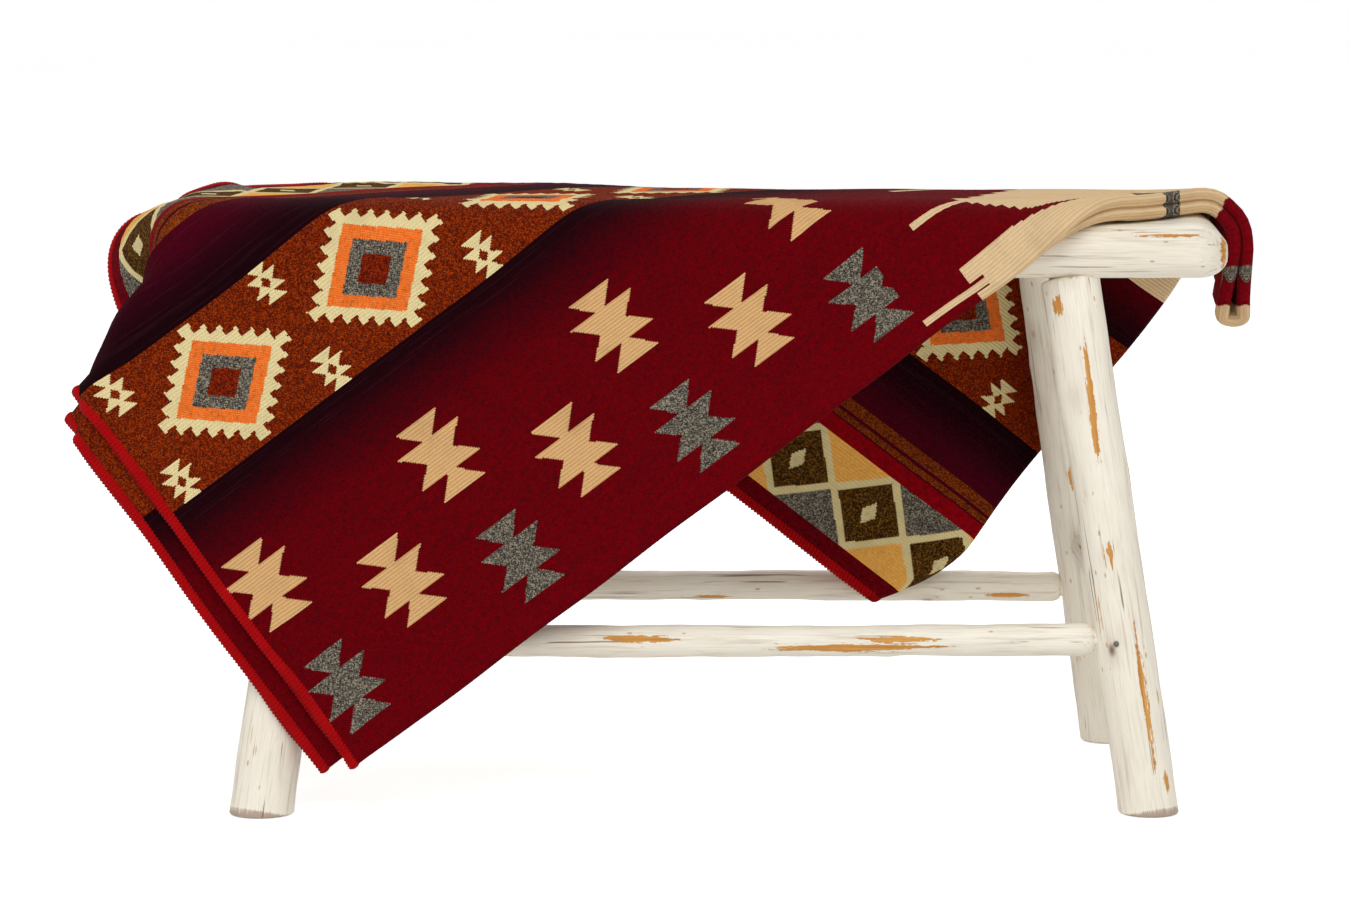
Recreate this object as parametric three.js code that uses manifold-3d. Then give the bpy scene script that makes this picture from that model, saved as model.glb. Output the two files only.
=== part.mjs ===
// A rustic whitewashed log bench with a folded woven blanket draped across it.
// Millimetres. +X to the right along the seat, +Y to the back, +Z up, floor at z = 0.
import * as THREE from "three";
import { mergeVertices } from "three/addons/utils/BufferGeometryUtils.js";
import Module from "manifold-3d";

const wasm = await Module();
wasm.setup();

// ---- Driving dimensions ----

const gap = 0.3; // clearance between pieces that touch

const seat = {
  length: 912,
  depth: 250,
  thickness: 50,
  height: 500, // floor to seat top
  nose: 21, // rounding of the edges, top and bottom
  corner: 34, // rounding of the plan's corners
};

const leg = {
  diameter: 52,
  insetX: 145, // seat end to leg centre at the seat's underside
  insetY: 30, // seat side to leg centre at the seat's underside
  splayX: 66, // how far the foot stands out beyond the top, along the seat
  splayY: 71, // and across it
  tenonDiameter: 34,
  tenonLength: 34,
};

const longStretcher = { diameter: 29, height: 145, tenonDiameter: 18 };
const sideStretcher = { diameter: 30, height: 186, tenonDiameter: 18 };
const tenonPastCentre = 6; // a stretcher's tenon ends this far past its leg's centre
const shoulderLength = 14; // the whittled round shoulder beside each leg

const brad = {
  shankDiameter: 2.4,
  headDiameter: 5,
  headThickness: 1.2,
  pastTenon: 5, // how far the point goes beyond the tenon
  inset: 8, // from the leg's centre towards the stretcher
};

const blanket = {
  width: 635, // folded width, across the stripes
  length: 1078, // folded length, along the stripes
  thickness: 16, // the four layers together
  turn: THREE.MathUtils.degToRad(36.8), // its length against the seat's length
  tipInset: 159, // seat's left end to the front tip
  tipHeight: 42, // floor to the front tip
  flapAngle: THREE.MathUtils.degToRad(28), // the corner flap's fold, from straight down
  flapLayers: 3, // how many thicknesses deep the corner flap is
};

const roundSegments = 28;
const smallRoundSegments = 12;

// ---- Derived places ----

const undersideZ = seat.height - seat.thickness;
const legRadius = leg.diameter / 2;
const legTop = { x: seat.length / 2 - leg.insetX, y: seat.depth / 2 - leg.insetY };
const foot = { x: legTop.x + leg.splayX, y: legTop.y + leg.splayY };
const UP = new THREE.Vector3(0, 1, 0); // a lathe's own axis

// The point of a leg's centre line at height z, for the leg on side sx, sy.
function legCentre(sx, sy, z) {
  const k = z / undersideZ;
  return new THREE.Vector3(
    sx * THREE.MathUtils.lerp(foot.x, legTop.x, k),
    sy * THREE.MathUtils.lerp(foot.y, legTop.y, k),
    z,
  );
}

// ---- Solids ----

// A closed three.js geometry as a solid, placed by a matrix.
function solid(geometry, matrix = new THREE.Matrix4()) {
  const bare = geometry.clone().applyMatrix4(matrix);
  bare.deleteAttribute("normal");
  bare.deleteAttribute("uv");
  const merged = mergeVertices(bare, 1e-4);
  const corners = merged.index.array;
  const triangles = [];
  for (let i = 0; i < corners.length; i += 3) {
    const [a, b, c] = [corners[i], corners[i + 1], corners[i + 2]];
    if (a !== b && b !== c && c !== a) triangles.push(a, b, c);
  }
  return new wasm.Manifold(
    new wasm.Mesh({
      numProp: 3,
      vertProperties: merged.attributes.position.array,
      triVerts: new Uint32Array(triangles),
    }),
  );
}

// A solid back as a three.js geometry.
function geometryOf(body) {
  const mesh = body.getMesh();
  const count = mesh.numVert;
  const positions = new Float32Array(count * 3);
  for (let i = 0; i < count; i++) {
    const start = i * mesh.numProp;
    positions.set(mesh.vertProperties.subarray(start, start + 3), i * 3);
  }
  const geometry = new THREE.BufferGeometry();
  geometry.setAttribute("position", new THREE.BufferAttribute(positions, 3));
  geometry.setIndex(new THREE.BufferAttribute(mesh.triVerts, 1));
  geometry.computeVertexNormals();
  return geometry;
}

// A turned solid from a profile of [radius, distance along the axis] pairs, from point start to point end.
function turned(profile, start, end, segments = roundSegments) {
  const points = profile.map(([r, along]) => new THREE.Vector2(r, along));
  const direction = end.clone().sub(start).normalize();
  const turn = new THREE.Quaternion().setFromUnitVectors(UP, direction);
  const place = new THREE.Matrix4().compose(start, turn, new THREE.Vector3(1, 1, 1));
  return solid(new THREE.LatheGeometry(points, segments), place);
}

// A plain round bar from start to end.
function bar(radius, start, end, segments = roundSegments) {
  const length = start.distanceTo(end);
  return turned([[0, 0], [radius, 0], [radius, length], [0, length]], start, end, segments);
}

function box(x0, x1, y0, y1, z0, z1) {
  const place = new THREE.Matrix4().makeTranslation((x0 + x1) / 2, (y0 + y1) / 2, (z0 + z1) / 2);
  return solid(new THREE.BoxGeometry(x1 - x0, y1 - y0, z1 - z0), place);
}

// A flat outline thickened along its own +Z, then placed.
function plate(outline, thickness, place) {
  const shape = new THREE.Shape(outline.map(([x, y]) => new THREE.Vector2(x, y)));
  return solid(new THREE.ExtrudeGeometry(shape, { depth: thickness, bevelEnabled: false }), place);
}

// ---- Bench ----

// The leg's tenon, or its mortise when clearance is given.
function legTenon(sx, sy, clearance = 0) {
  const below = legCentre(sx, sy, undersideZ - legRadius / 2);
  const axis = legCentre(sx, sy, undersideZ).sub(legCentre(sx, sy, 0)).normalize();
  const end = legCentre(sx, sy, undersideZ).addScaledVector(axis, leg.tenonLength + clearance);
  return bar(leg.tenonDiameter / 2 + clearance, below, end);
}

// A leg's round log, longer than the leg at both ends.
function legLog(sx, sy, clearance = 0) {
  const over = leg.diameter;
  return bar(legRadius + clearance, legCentre(sx, sy, -over), legCentre(sx, sy, undersideZ + over));
}

// The two ends of a stretcher's centre line, on its legs' centre lines.
function stretcherEnds(stretcher, side) {
  const z = stretcher.height;
  if (stretcher === longStretcher) return [legCentre(-1, side, z), legCentre(1, side, z)];
  return [legCentre(side, -1, z), legCentre(side, 1, z)];
}

function stretcherTenons(stretcher, side, clearance = 0) {
  const [start, end] = stretcherEnds(stretcher, side);
  const along = end.clone().sub(start).normalize();
  const past = tenonPastCentre + clearance;
  return bar(
    stretcher.tenonDiameter / 2 + clearance,
    start.addScaledVector(along, -past),
    end.addScaledVector(along, past),
    roundSegments,
  );
}

// A round stretcher with whittled shoulders, scribed to the legs, and a tenon at each end.
function makeStretcher(stretcher, side) {
  const [start, end] = stretcherEnds(stretcher, side);
  const length = start.distanceTo(end);
  const radius = stretcher.diameter / 2;
  const tenonRadius = stretcher.tenonDiameter / 2;
  const legFace = legRadius - gap;
  const steps = 5;
  const profile = [[0, legFace]];
  for (let i = 0; i <= steps; i++) {
    const angle = (i / steps) * (Math.PI / 2);
    const r = tenonRadius + (radius - tenonRadius) * Math.sin(angle);
    profile.push([r, legFace + shoulderLength * (1 - Math.cos(angle))]);
  }
  const mirrored = profile.map(([r, along]) => [r, length - along]).reverse();
  let body = turned([...profile, ...mirrored], start, end);
  for (const other of [-1, 1]) {
    const [sx, sy] = stretcher === longStretcher ? [other, side] : [side, other];
    body = body.subtract(legLog(sx, sy, gap));
  }
  body = body.add(stretcherTenons(stretcher, side));
  if (stretcher !== longStretcher) return body;
  return [-1, 1].reduce((rest, sx) => rest.subtract(makeBrad(sx, side, gap)), body);
}

// A brad driven square through the leg into the long stretcher's tenon.
function makeBrad(sx, sy, clearance = 0) {
  const centre = legCentre(sx, sy, longStretcher.height);
  const x = centre.x - sx * brad.inset;
  const faceY = centre.y + sy * Math.sqrt(legRadius ** 2 - brad.inset ** 2);
  const pointY = centre.y - sy * (longStretcher.tenonDiameter / 2 + brad.pastTenon);
  const z = longStretcher.height;
  const shank = brad.shankDiameter / 2 + clearance;
  const head = brad.headDiameter / 2 + clearance;
  const outer = new THREE.Vector3(x, faceY + sy * brad.headThickness / 2, z);
  const length = Math.abs(outer.y - pointY);
  const open = clearance ? legRadius : 0; // a hole's mouth is open outwards
  const profile = [
    [0, -open],
    [head, -open],
    [head, brad.headThickness + clearance],
    [shank, brad.headThickness + clearance],
    [shank, length - brad.pastTenon / 2 + clearance],
    [0, length + clearance],
  ];
  return turned(profile, outer, new THREE.Vector3(x, pointY, z), smallRoundSegments);
}

// A splayed round leg: flat foot, shoulder cut level under the seat, tenon above it.
function makeLeg(sx, sy) {
  const reach = seat.length;
  const level = box(-reach, reach, -reach, reach, 0, undersideZ - gap);
  return legLog(sx, sy)
    .intersect(level)
    .add(legTenon(sx, sy))
    .subtract(stretcherTenons(longStretcher, sy, gap))
    .subtract(stretcherTenons(sideStretcher, sx, gap))
    .subtract(makeBrad(sx, sy, gap));
}

// The seat: one thick plank with round edges and four blind mortises underneath.
function makeSeat() {
  const halfLength = seat.length / 2 - seat.nose;
  const halfDepth = seat.depth / 2 - seat.nose;
  const r = seat.corner;
  const outline = new THREE.Shape();
  outline.moveTo(-halfLength + r, -halfDepth);
  outline.lineTo(halfLength - r, -halfDepth);
  outline.absarc(halfLength - r, -halfDepth + r, r, -Math.PI / 2, 0);
  outline.lineTo(halfLength, halfDepth - r);
  outline.absarc(halfLength - r, halfDepth - r, r, 0, Math.PI / 2);
  outline.lineTo(-halfLength + r, halfDepth);
  outline.absarc(-halfLength + r, halfDepth - r, r, Math.PI / 2, Math.PI);
  outline.lineTo(-halfLength, -halfDepth + r);
  outline.absarc(-halfLength + r, -halfDepth + r, r, Math.PI, Math.PI * 1.5);
  const plank = new THREE.ExtrudeGeometry(outline, {
    depth: seat.thickness - 2 * seat.nose,
    bevelThickness: seat.nose,
    bevelSize: seat.nose,
    bevelSegments: 5,
    curveSegments: 6,
  });
  let body = solid(plank, new THREE.Matrix4().makeTranslation(0, 0, undersideZ + seat.nose));
  for (const sx of [-1, 1]) for (const sy of [-1, 1]) body = body.subtract(legTenon(sx, sy, gap));
  return body;
}

// ---- Blanket ----

// Keeps the part of an outline where nx * x + ny * y <= limit.
function clip(outline, nx, ny, limit) {
  const depth = ([x, y]) => nx * x + ny * y - limit;
  return outline.flatMap((point, i) => {
    const next = outline[(i + 1) % outline.length];
    const [a, b] = [depth(point), depth(next)];
    const kept = a <= 0 ? [point] : [];
    if (a < 0 === b < 0) return kept;
    const k = a / (a - b);
    return [...kept, [point[0] + k * (next[0] - point[0]), point[1] + k * (next[1] - point[1])]];
  });
}

// The folded blanket is one thick strip laid flat over the bench and bent down over its sides.
// A point of the strip that lies beyond a side hangs down it by the same distance, less what the
// rounding over the edge saves.
function blanketStrip() {
  const saved = blanket.thickness * (Math.PI / 2 - 1);
  const [cos, sin] = [Math.cos(blanket.turn), Math.sin(blanket.turn)];
  const hang = seat.height + blanket.thickness - blanket.tipHeight;
  const tip = [-seat.length / 2 + blanket.tipInset, -(seat.depth / 2 + saved + hang)];
  const at = (along, across) => [
    tip[0] + along * cos - across * sin,
    tip[1] + along * sin + across * cos,
  ];
  const { length, width } = blanket;
  return [at(0, 0), at(length, 0), at(length, width), at(0, width)];
}

// A hanging panel from its outline in the strip's plan, or none where the strip ends before that
// side. out is the side's outward direction, reach the side's distance from the seat's middle,
// lean the tilt outwards, and layers how many blanket thicknesses it has, counted inwards from
// its outer face.
function hangingPanel(outline, out, reach, lean = 0, layers = 1) {
  const t = blanket.thickness;
  const saved = t * (Math.PI / 2 - 1);
  const along = new THREE.Vector3(-out.y, out.x, 0);
  const up = new THREE.Vector3(0, 0, Math.cos(lean)).addScaledVector(out, -Math.sin(lean));
  const normal = along.clone().cross(up);
  const flat = clip(outline, -out.x, -out.y, -(reach + saved));
  if (flat.length < 3) return [];
  const bent = flat.map(([x, y]) => {
    const beyond = x * out.x + y * out.y - reach;
    return [x * along.x + y * along.y, t + saved - beyond];
  });
  const origin = out.clone().multiplyScalar(reach + gap).setZ(seat.height + gap);
  origin.addScaledVector(normal, t * (1 - layers));
  const place = new THREE.Matrix4().makeBasis(along, up, normal).setPosition(origin);
  return [plate(bent, t * layers, place)];
}

function makeBlanket() {
  const t = blanket.thickness;
  const [endX, sideY] = [seat.length / 2, seat.depth / 2];
  const saved = t * (Math.PI / 2 - 1);
  const strip = blanketStrip();
  const within = (outline, x, y) =>
    [[1, 0, x], [-1, 0, x], [0, 1, y], [0, -1, y]]
      .reduce((rest, [nx, ny, limit]) => clip(rest, nx, ny, limit), outline);

  const laid = within(strip, endX + gap + t, sideY + gap + t);
  const top = plate(laid, t, new THREE.Matrix4().makeTranslation(0, 0, seat.height + gap));

  // The long sides lean out far enough to clear the splayed legs down to the floor.
  const legSlope = Math.atan2(leg.splayY, undersideZ);
  const lean = Math.atan2(foot.y + legRadius / Math.cos(legSlope) - sideY, seat.height);

  // Past the seat's front left corner the front panel runs on to a slanting fold, and the cloth
  // doubles back behind it.
  const [foldX, foldY] = [-Math.cos(blanket.flapAngle), Math.sin(blanket.flapAngle)];
  const foldLimit = foldX * -endX + foldY * -(sideY + saved);
  const [front, back] = [new THREE.Vector3(0, -1, 0), new THREE.Vector3(0, 1, 0)];
  const [left, right] = [new THREE.Vector3(-1, 0, 0), new THREE.Vector3(1, 0, 0)];
  const frontOutline = clip(clip(strip, 0, 1, -sideY), foldX, foldY, foldLimit);
  const flapOutline = clip(frontOutline, 1, 0, -(endX + gap));
  const backOutline = clip(clip(strip, 0, -1, -sideY), 1, 0, endX + t);
  const endOutline = within(strip, Infinity, sideY + gap + t / 2);

  return [
    ...hangingPanel(frontOutline, front, sideY, lean),
    ...hangingPanel(flapOutline, front, sideY, lean, blanket.flapLayers),
    ...hangingPanel(backOutline, back, sideY, lean),
    ...hangingPanel(endOutline, left, endX),
    ...hangingPanel(endOutline, right, endX),
  ].reduce((whole, panel) => whole.add(panel), top);
}

// ---- Assembly ----

const whitewash = new THREE.MeshStandardMaterial({ color: 0xe8dfcc, roughness: 0.7 });
const steel = new THREE.MeshStandardMaterial({ color: 0x4a4038, roughness: 0.5, metalness: 0.8 });
const cloth = new THREE.MeshStandardMaterial({ color: 0x7d0a16, roughness: 0.95 });

const bench = new THREE.Group();

function place(name, body, material) {
  const mesh = new THREE.Mesh(geometryOf(body), material);
  mesh.name = name;
  bench.add(mesh);
}

const sides = { front: -1, back: 1 };
const ends = { left: -1, right: 1 };

place("seat_log", makeSeat(), whitewash);
for (const [side, sy] of Object.entries(sides)) {
  place(`${side}_long_stretcher`, makeStretcher(longStretcher, sy), whitewash);
  for (const [end, sx] of Object.entries(ends)) {
    place(`${side}_${end}_leg`, makeLeg(sx, sy), whitewash);
    place(`${side}_${end}_brad`, makeBrad(sx, sy), steel);
  }
}
for (const [end, sx] of Object.entries(ends)) {
  place(`${end}_side_stretcher`, makeStretcher(sideStretcher, sx), whitewash);
}
place("folded_blanket", makeBlanket(), cloth);

// The origin is the middle of the whole part's box, on the floor.
const bounds = new THREE.Box3().setFromObject(bench);
const middle = bounds.getCenter(new THREE.Vector3());
bench.position.set(-middle.x, -middle.y, -bounds.min.z);

export default bench;
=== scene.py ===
"""A woven blanket folded in quarters and laid askew over a limewashed log bench.

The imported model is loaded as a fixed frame, and every piece takes its place from it. The blanket is relaxed over the
bench as one stack, and its four thicknesses are then laid along that surface. Lengths are in metres, except in the
relaxation and the woven pattern, which work in millimetres and say so.
"""

import logging
import math
import sys
from dataclasses import dataclass, field
from enum import Enum
from typing import Sequence

import bmesh
import bpy
import numpy as np
from bpy.types import Material, Mesh, Node, NodeSocket, NodeTree, Object
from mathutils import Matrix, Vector


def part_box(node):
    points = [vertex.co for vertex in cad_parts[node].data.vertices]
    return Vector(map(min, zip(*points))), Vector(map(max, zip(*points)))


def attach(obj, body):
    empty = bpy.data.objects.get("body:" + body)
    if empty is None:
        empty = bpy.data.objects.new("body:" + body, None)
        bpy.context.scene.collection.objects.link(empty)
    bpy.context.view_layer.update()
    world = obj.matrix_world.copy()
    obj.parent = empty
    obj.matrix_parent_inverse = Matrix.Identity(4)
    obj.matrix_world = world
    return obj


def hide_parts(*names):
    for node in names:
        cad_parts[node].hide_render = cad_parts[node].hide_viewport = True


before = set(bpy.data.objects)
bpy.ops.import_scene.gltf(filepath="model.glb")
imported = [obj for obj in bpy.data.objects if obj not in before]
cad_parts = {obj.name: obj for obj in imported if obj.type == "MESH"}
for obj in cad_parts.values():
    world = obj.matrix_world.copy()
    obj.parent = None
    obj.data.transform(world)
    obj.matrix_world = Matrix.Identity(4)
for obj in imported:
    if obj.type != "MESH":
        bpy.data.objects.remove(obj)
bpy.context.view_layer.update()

LOG = logging.getLogger("bench_blanket")
VALUE_SOCKET, VECTOR_SOCKET, COLOUR_SOCKET = "NodeSocketFloat", "NodeSocketVector", "NodeSocketColor"
MM = 0.001
Array = np.ndarray
Colour = tuple[float, ...]
ROWS = ((-1, "front"), (1, "back"))
HANDS = ((-1, "left"), (1, "right"))


# ---------------------------------------------------------------- mesh helpers


def smooth_step(x: Array) -> Array:
    """A rise from 0 to 1 for x from 0 to 1 that starts and ends level: 3x^2 - 2x^3."""
    x = np.clip(x, 0.0, 1.0)
    return x * x * (3.0 - 2.0 * x)


def unit(v: Array) -> Array:
    """Each vector divided by its own length."""
    return v / np.maximum(np.linalg.norm(v, axis=-1, keepdims=True), 1e-12)


def grid_faces(rows: int, cols: int, wrap: bool = False, flip: bool = False, closed: bool = False) -> Array:
    """Quads of a rows by cols grid of vertices stored row by row.

    Args:
        rows: how many rows of vertices.
        cols: how many vertices a row has.
        wrap: whether each row closes on itself.
        flip: whether the faces look the other way.
        closed: whether the last row joins the first.

    Returns:
        An (n, 4) array of vertex numbers.
    """
    r = np.arange(rows if closed else rows - 1)[:, None]
    c = np.arange(cols if wrap else cols - 1)[None, :]
    above, nxt = (r + 1) % rows, (c + 1) % cols
    quads = np.stack([r * cols + c, above * cols + c, above * cols + nxt, r * cols + nxt], axis=-1).reshape(-1, 4)
    return quads[:, ::-1] if flip else quads


def fan_faces(hub: int, ring: Array, flip: bool = False) -> Array:
    """Triangles from a hub vertex to each step of a closed ring, written as quads that end in -1.

    Args:
        hub: the hub's vertex number.
        ring: the ring's vertex numbers, in order.
        flip: whether the triangles look the other way.

    Returns:
        An (n, 4) array of vertex numbers.
    """
    first, second = (np.roll(ring, -1), ring) if flip else (ring, np.roll(ring, -1))
    return np.stack([np.full(len(ring), hub), first, second, np.full(len(ring), -1)], 1)


def facing_out(points: Array, faces: Array) -> Array:
    """The faces of a closed surface, all turned round if the surface's signed volume is negative.

    Args:
        points: the vertices, (n, 3).
        faces: the faces, (m, 4), with -1 last on a triangle.

    Returns:
        The faces, (m, 4).
    """
    quad = faces[:, 3] >= 0
    volume = 0.0
    for which, (i, j, k) in ((slice(None), (0, 1, 2)), (quad, (0, 2, 3))):
        part = faces[which]
        volume += (points[part[:, i]] * np.cross(points[part[:, j]], points[part[:, k]])).sum()
    return faces if volume > 0 else np.where(quad[:, None], faces[:, ::-1], faces[:, [2, 1, 0, 3]])


def rounded_outline(
    low: Sequence[float], high: Sequence[float], spacing: float, radius: float, count: int
) -> tuple[Array, Array]:
    """Points spaced evenly round a rectangle whose corners are quarter circles.

    Args:
        low: the smaller coordinates of the corners' centres.
        high: the larger coordinates of the corners' centres.
        spacing: the corner radius that the even spacing is measured on.
        radius: how far the points stand outside the rectangle of the centres.
        count: how many points.

    Returns:
        The points and the outward direction at each.
    """
    (x0, y0), (x1, y1) = low, high
    bend = np.pi / 2 * spacing
    runs = np.array([x1 - x0, bend, y1 - y0, bend] * 2)
    edges = np.concatenate([[0], np.cumsum(runs)])
    place = np.arange(count) / count * edges[-1]
    run = np.clip(np.searchsorted(edges, place, side="right") - 1, 0, 7)
    share = (place - edges[run]) / runs[run]
    side, turning = run // 2, run % 2 == 1
    angle = (side - 1 + turning * share) * np.pi / 2
    out = np.stack([np.cos(angle), np.sin(angle)], -1)
    centres = np.array([[x1, y0], [x1, y1], [x0, y1], [x0, y0]])
    before = centres[side - 1]
    straight = before + (centres[side] - before) * share[:, None]
    return np.where(turning[:, None], centres[side], straight) + out * radius, out


def worn(reach: Array, wear: Array) -> Array:
    """Wear that is 1 in a patch's middle and 0 at twice its half sizes, kept where it is the larger."""
    return np.maximum(wear, np.clip(1 - 0.5 * reach, 0, 1))


def write_fields(mesh: Mesh, fields: dict[str, Array]) -> None:
    """Stores point attributes by name, (n,) for numbers or (n, 3) for vectors."""
    for key, values in fields.items():
        vector = values.ndim == 2
        made = mesh.attributes.new(key, "FLOAT_VECTOR" if vector else "FLOAT", "POINT")
        made.data.foreach_set("vector" if vector else "value", np.asarray(values, np.float32).ravel())


def make_piece(name: str, points: Array, quads: Array, fields: dict[str, Array] | None = None) -> Object:
    """Makes one smooth-shaded object from whole arrays.

    Args:
        name: the piece's name.
        points: its vertices, (n, 3), in metres in the frame.
        quads: its faces, (m, 4); a face whose last number is -1 is a triangle.
        fields: point attributes by name, (n,) for numbers or (n, 3) for vectors.

    Returns:
        The new object, at the origin, linked to the scene.
    """
    mesh = bpy.data.meshes.new(name)
    sizes = np.where(quads[:, 3] < 0, 3, 4)
    loops = quads.reshape(-1)
    loops = loops[loops >= 0]
    mesh.vertices.add(len(points))
    mesh.vertices.foreach_set("co", np.asarray(points, np.float32).ravel())
    mesh.loops.add(len(loops))
    mesh.loops.foreach_set("vertex_index", loops.astype(np.int32))
    mesh.polygons.add(len(quads))
    starts = np.concatenate([[0], np.cumsum(sizes)[:-1]]).astype(np.int32)
    mesh.polygons.foreach_set("loop_start", starts)
    mesh.polygons.foreach_set("use_smooth", np.ones(len(quads), bool))
    mesh.update(calc_edges=True)
    write_fields(mesh, fields or {})
    mesh.validate()
    piece = bpy.data.objects.new(name, mesh)
    bpy.context.scene.collection.objects.link(piece)
    return piece


def finish_piece(piece: Object, material: Material, slot: str, *nodes: str) -> Object:
    """Gives a piece its material and body, and the CAD nodes that it stands for.

    Args:
        piece: the piece.
        material: its material.
        slot: what the material is; not used.
        nodes: the nodes it stands for.

    Returns:
        The same piece.
    """
    piece.data.materials.clear()
    piece.data.materials.append(material)
    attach(piece, "root")
    if nodes:
        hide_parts(*nodes)
    LOG.info("%s: %d vertices, %d faces", piece.name, len(piece.data.vertices), len(piece.data.polygons))
    return piece


# ---------------------------------------------------------------- shader helpers


class Book:
    """Adds nodes to one shader tree, laid out in columns."""

    def __init__(self, tree: NodeTree) -> None:
        """Starts on the given tree."""
        self.tree = tree
        self.made = 0

    def node(self, kind: str, **settings: object) -> Node:
        """Adds one node and sets the named properties on it."""
        made = self.tree.nodes.new(kind)
        made.location = (190 * (self.made // 10), -180 * (self.made % 10))
        self.made += 1
        for key, value in settings.items():
            setattr(made, key, value)
        return made

    def put(self, socket: NodeSocket, value: object) -> None:
        """Links a Field or a socket to an input, or sets a plain value on it."""
        if isinstance(value, Field):
            value = value.socket
        if isinstance(value, NodeSocket):
            self.tree.links.new(value, socket)
        else:
            socket.default_value = value

    def feed(self, node: Node, **inputs: object) -> Node:
        """Puts values on a node's inputs by name, with _ for a space."""
        for key, value in inputs.items():
            self.put(node.inputs[key.replace("_", " ")], value)
        return node

    def fill(self, node: Node, *values: object) -> Node:
        """Puts values on a node's first inputs in order."""
        for socket, value in zip(node.inputs, values):
            self.put(socket, value)
        return node

    def math(self, operation: str, *values: object) -> "Field":
        """One Math node on up to three values."""
        return Field(self, self.fill(self.node("ShaderNodeMath", operation=operation), *values).outputs[0])

    def combine(self, x: object, y: object, z: object = 0.0) -> NodeSocket:
        """A vector from three values."""
        return self.fill(self.node("ShaderNodeCombineXYZ"), x, y, z).outputs[0]

    def split(self, vector: object) -> tuple["Field", "Field", "Field"]:
        """The three values of a vector."""
        made = self.fill(self.node("ShaderNodeSeparateXYZ"), vector)
        return tuple(Field(self, out) for out in made.outputs)

    def scaled(self, vector: object, scale: Sequence[float]) -> NodeSocket:
        """A vector multiplied axis by axis."""
        return self.fill(self.node("ShaderNodeVectorMath", operation="MULTIPLY"), vector, scale).outputs[0]

    def read(self, key: str, out: str = "Vector") -> NodeSocket:
        """One of the piece's own attributes."""
        return self.node("ShaderNodeAttribute", attribute_name=key).outputs[out]

    def noise(self, vector: object, scale: float, detail: float = 3.0, rough: float = 0.55) -> "Field":
        """Perlin noise from 0 to 1 at the given scale per metre of the vector."""
        made = self.node("ShaderNodeTexNoise")
        return Field(self, self.feed(made, Vector=vector, Scale=scale, Detail=detail, Roughness=rough).outputs["Fac"])

    def grain(self, vector: object, across: float, along: float, detail: float, rough: float) -> "Field":
        """Noise at one scale across z and another along it."""
        return self.noise(self.scaled(vector, (across, across, along)), 1.0, detail, rough)

    def dots(self, vector: object, across: float, along: float, channel: int) -> tuple["Field", "Field"]:
        """Scattered dots, longer along z: distance from the nearest one, and that dot's own random number."""
        made = self.node("ShaderNodeTexVoronoi", feature="F1")
        self.feed(made, Vector=self.scaled(vector, (across, across, along)), Scale=1.0)
        return Field(self, made.outputs["Distance"]), self.split(made.outputs["Color"])[channel]

    def chance(self, x: object, y: object, seed: float = 0.0) -> "Field":
        """An even random number from 0 to 1 for each whole pair x, y."""
        made = self.node("ShaderNodeTexWhiteNoise", noise_dimensions="3D")
        return Field(self, self.feed(made, Vector=self.combine(x, y, seed)).outputs["Value"])

    def tint(self, mask: object, under: object, over: object) -> NodeSocket:
        """A colour that goes from under to over as mask goes from 0 to 1."""
        made = self.node("ShaderNodeMix", data_type="RGBA", clamp_factor=True)
        self.put(made.inputs[0], mask)
        for socket, value in ((made.inputs[6], under), (made.inputs[7], over)):
            self.put(socket, value)
        return made.outputs[2]

    def coats(self, colour: object, *coats: tuple[object, object]) -> NodeSocket:
        """A colour with (mask, over) coats laid on it in turn."""
        for mask, over in coats:
            colour = self.tint(mask, colour, over)
        return colour

    def ramp(self, value: object, stops: Sequence[tuple[float, Colour]]) -> NodeSocket:
        """A colour read from a row of (place, colour) stops."""
        made = self.fill(self.node("ShaderNodeValToRGB"), value)
        bar = made.color_ramp.elements
        while len(bar) < len(stops):
            bar.new(0.5)
        for mark, (place, colour) in zip(bar, stops):
            mark.position, mark.color = place, colour
        return made.outputs[0]


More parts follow.
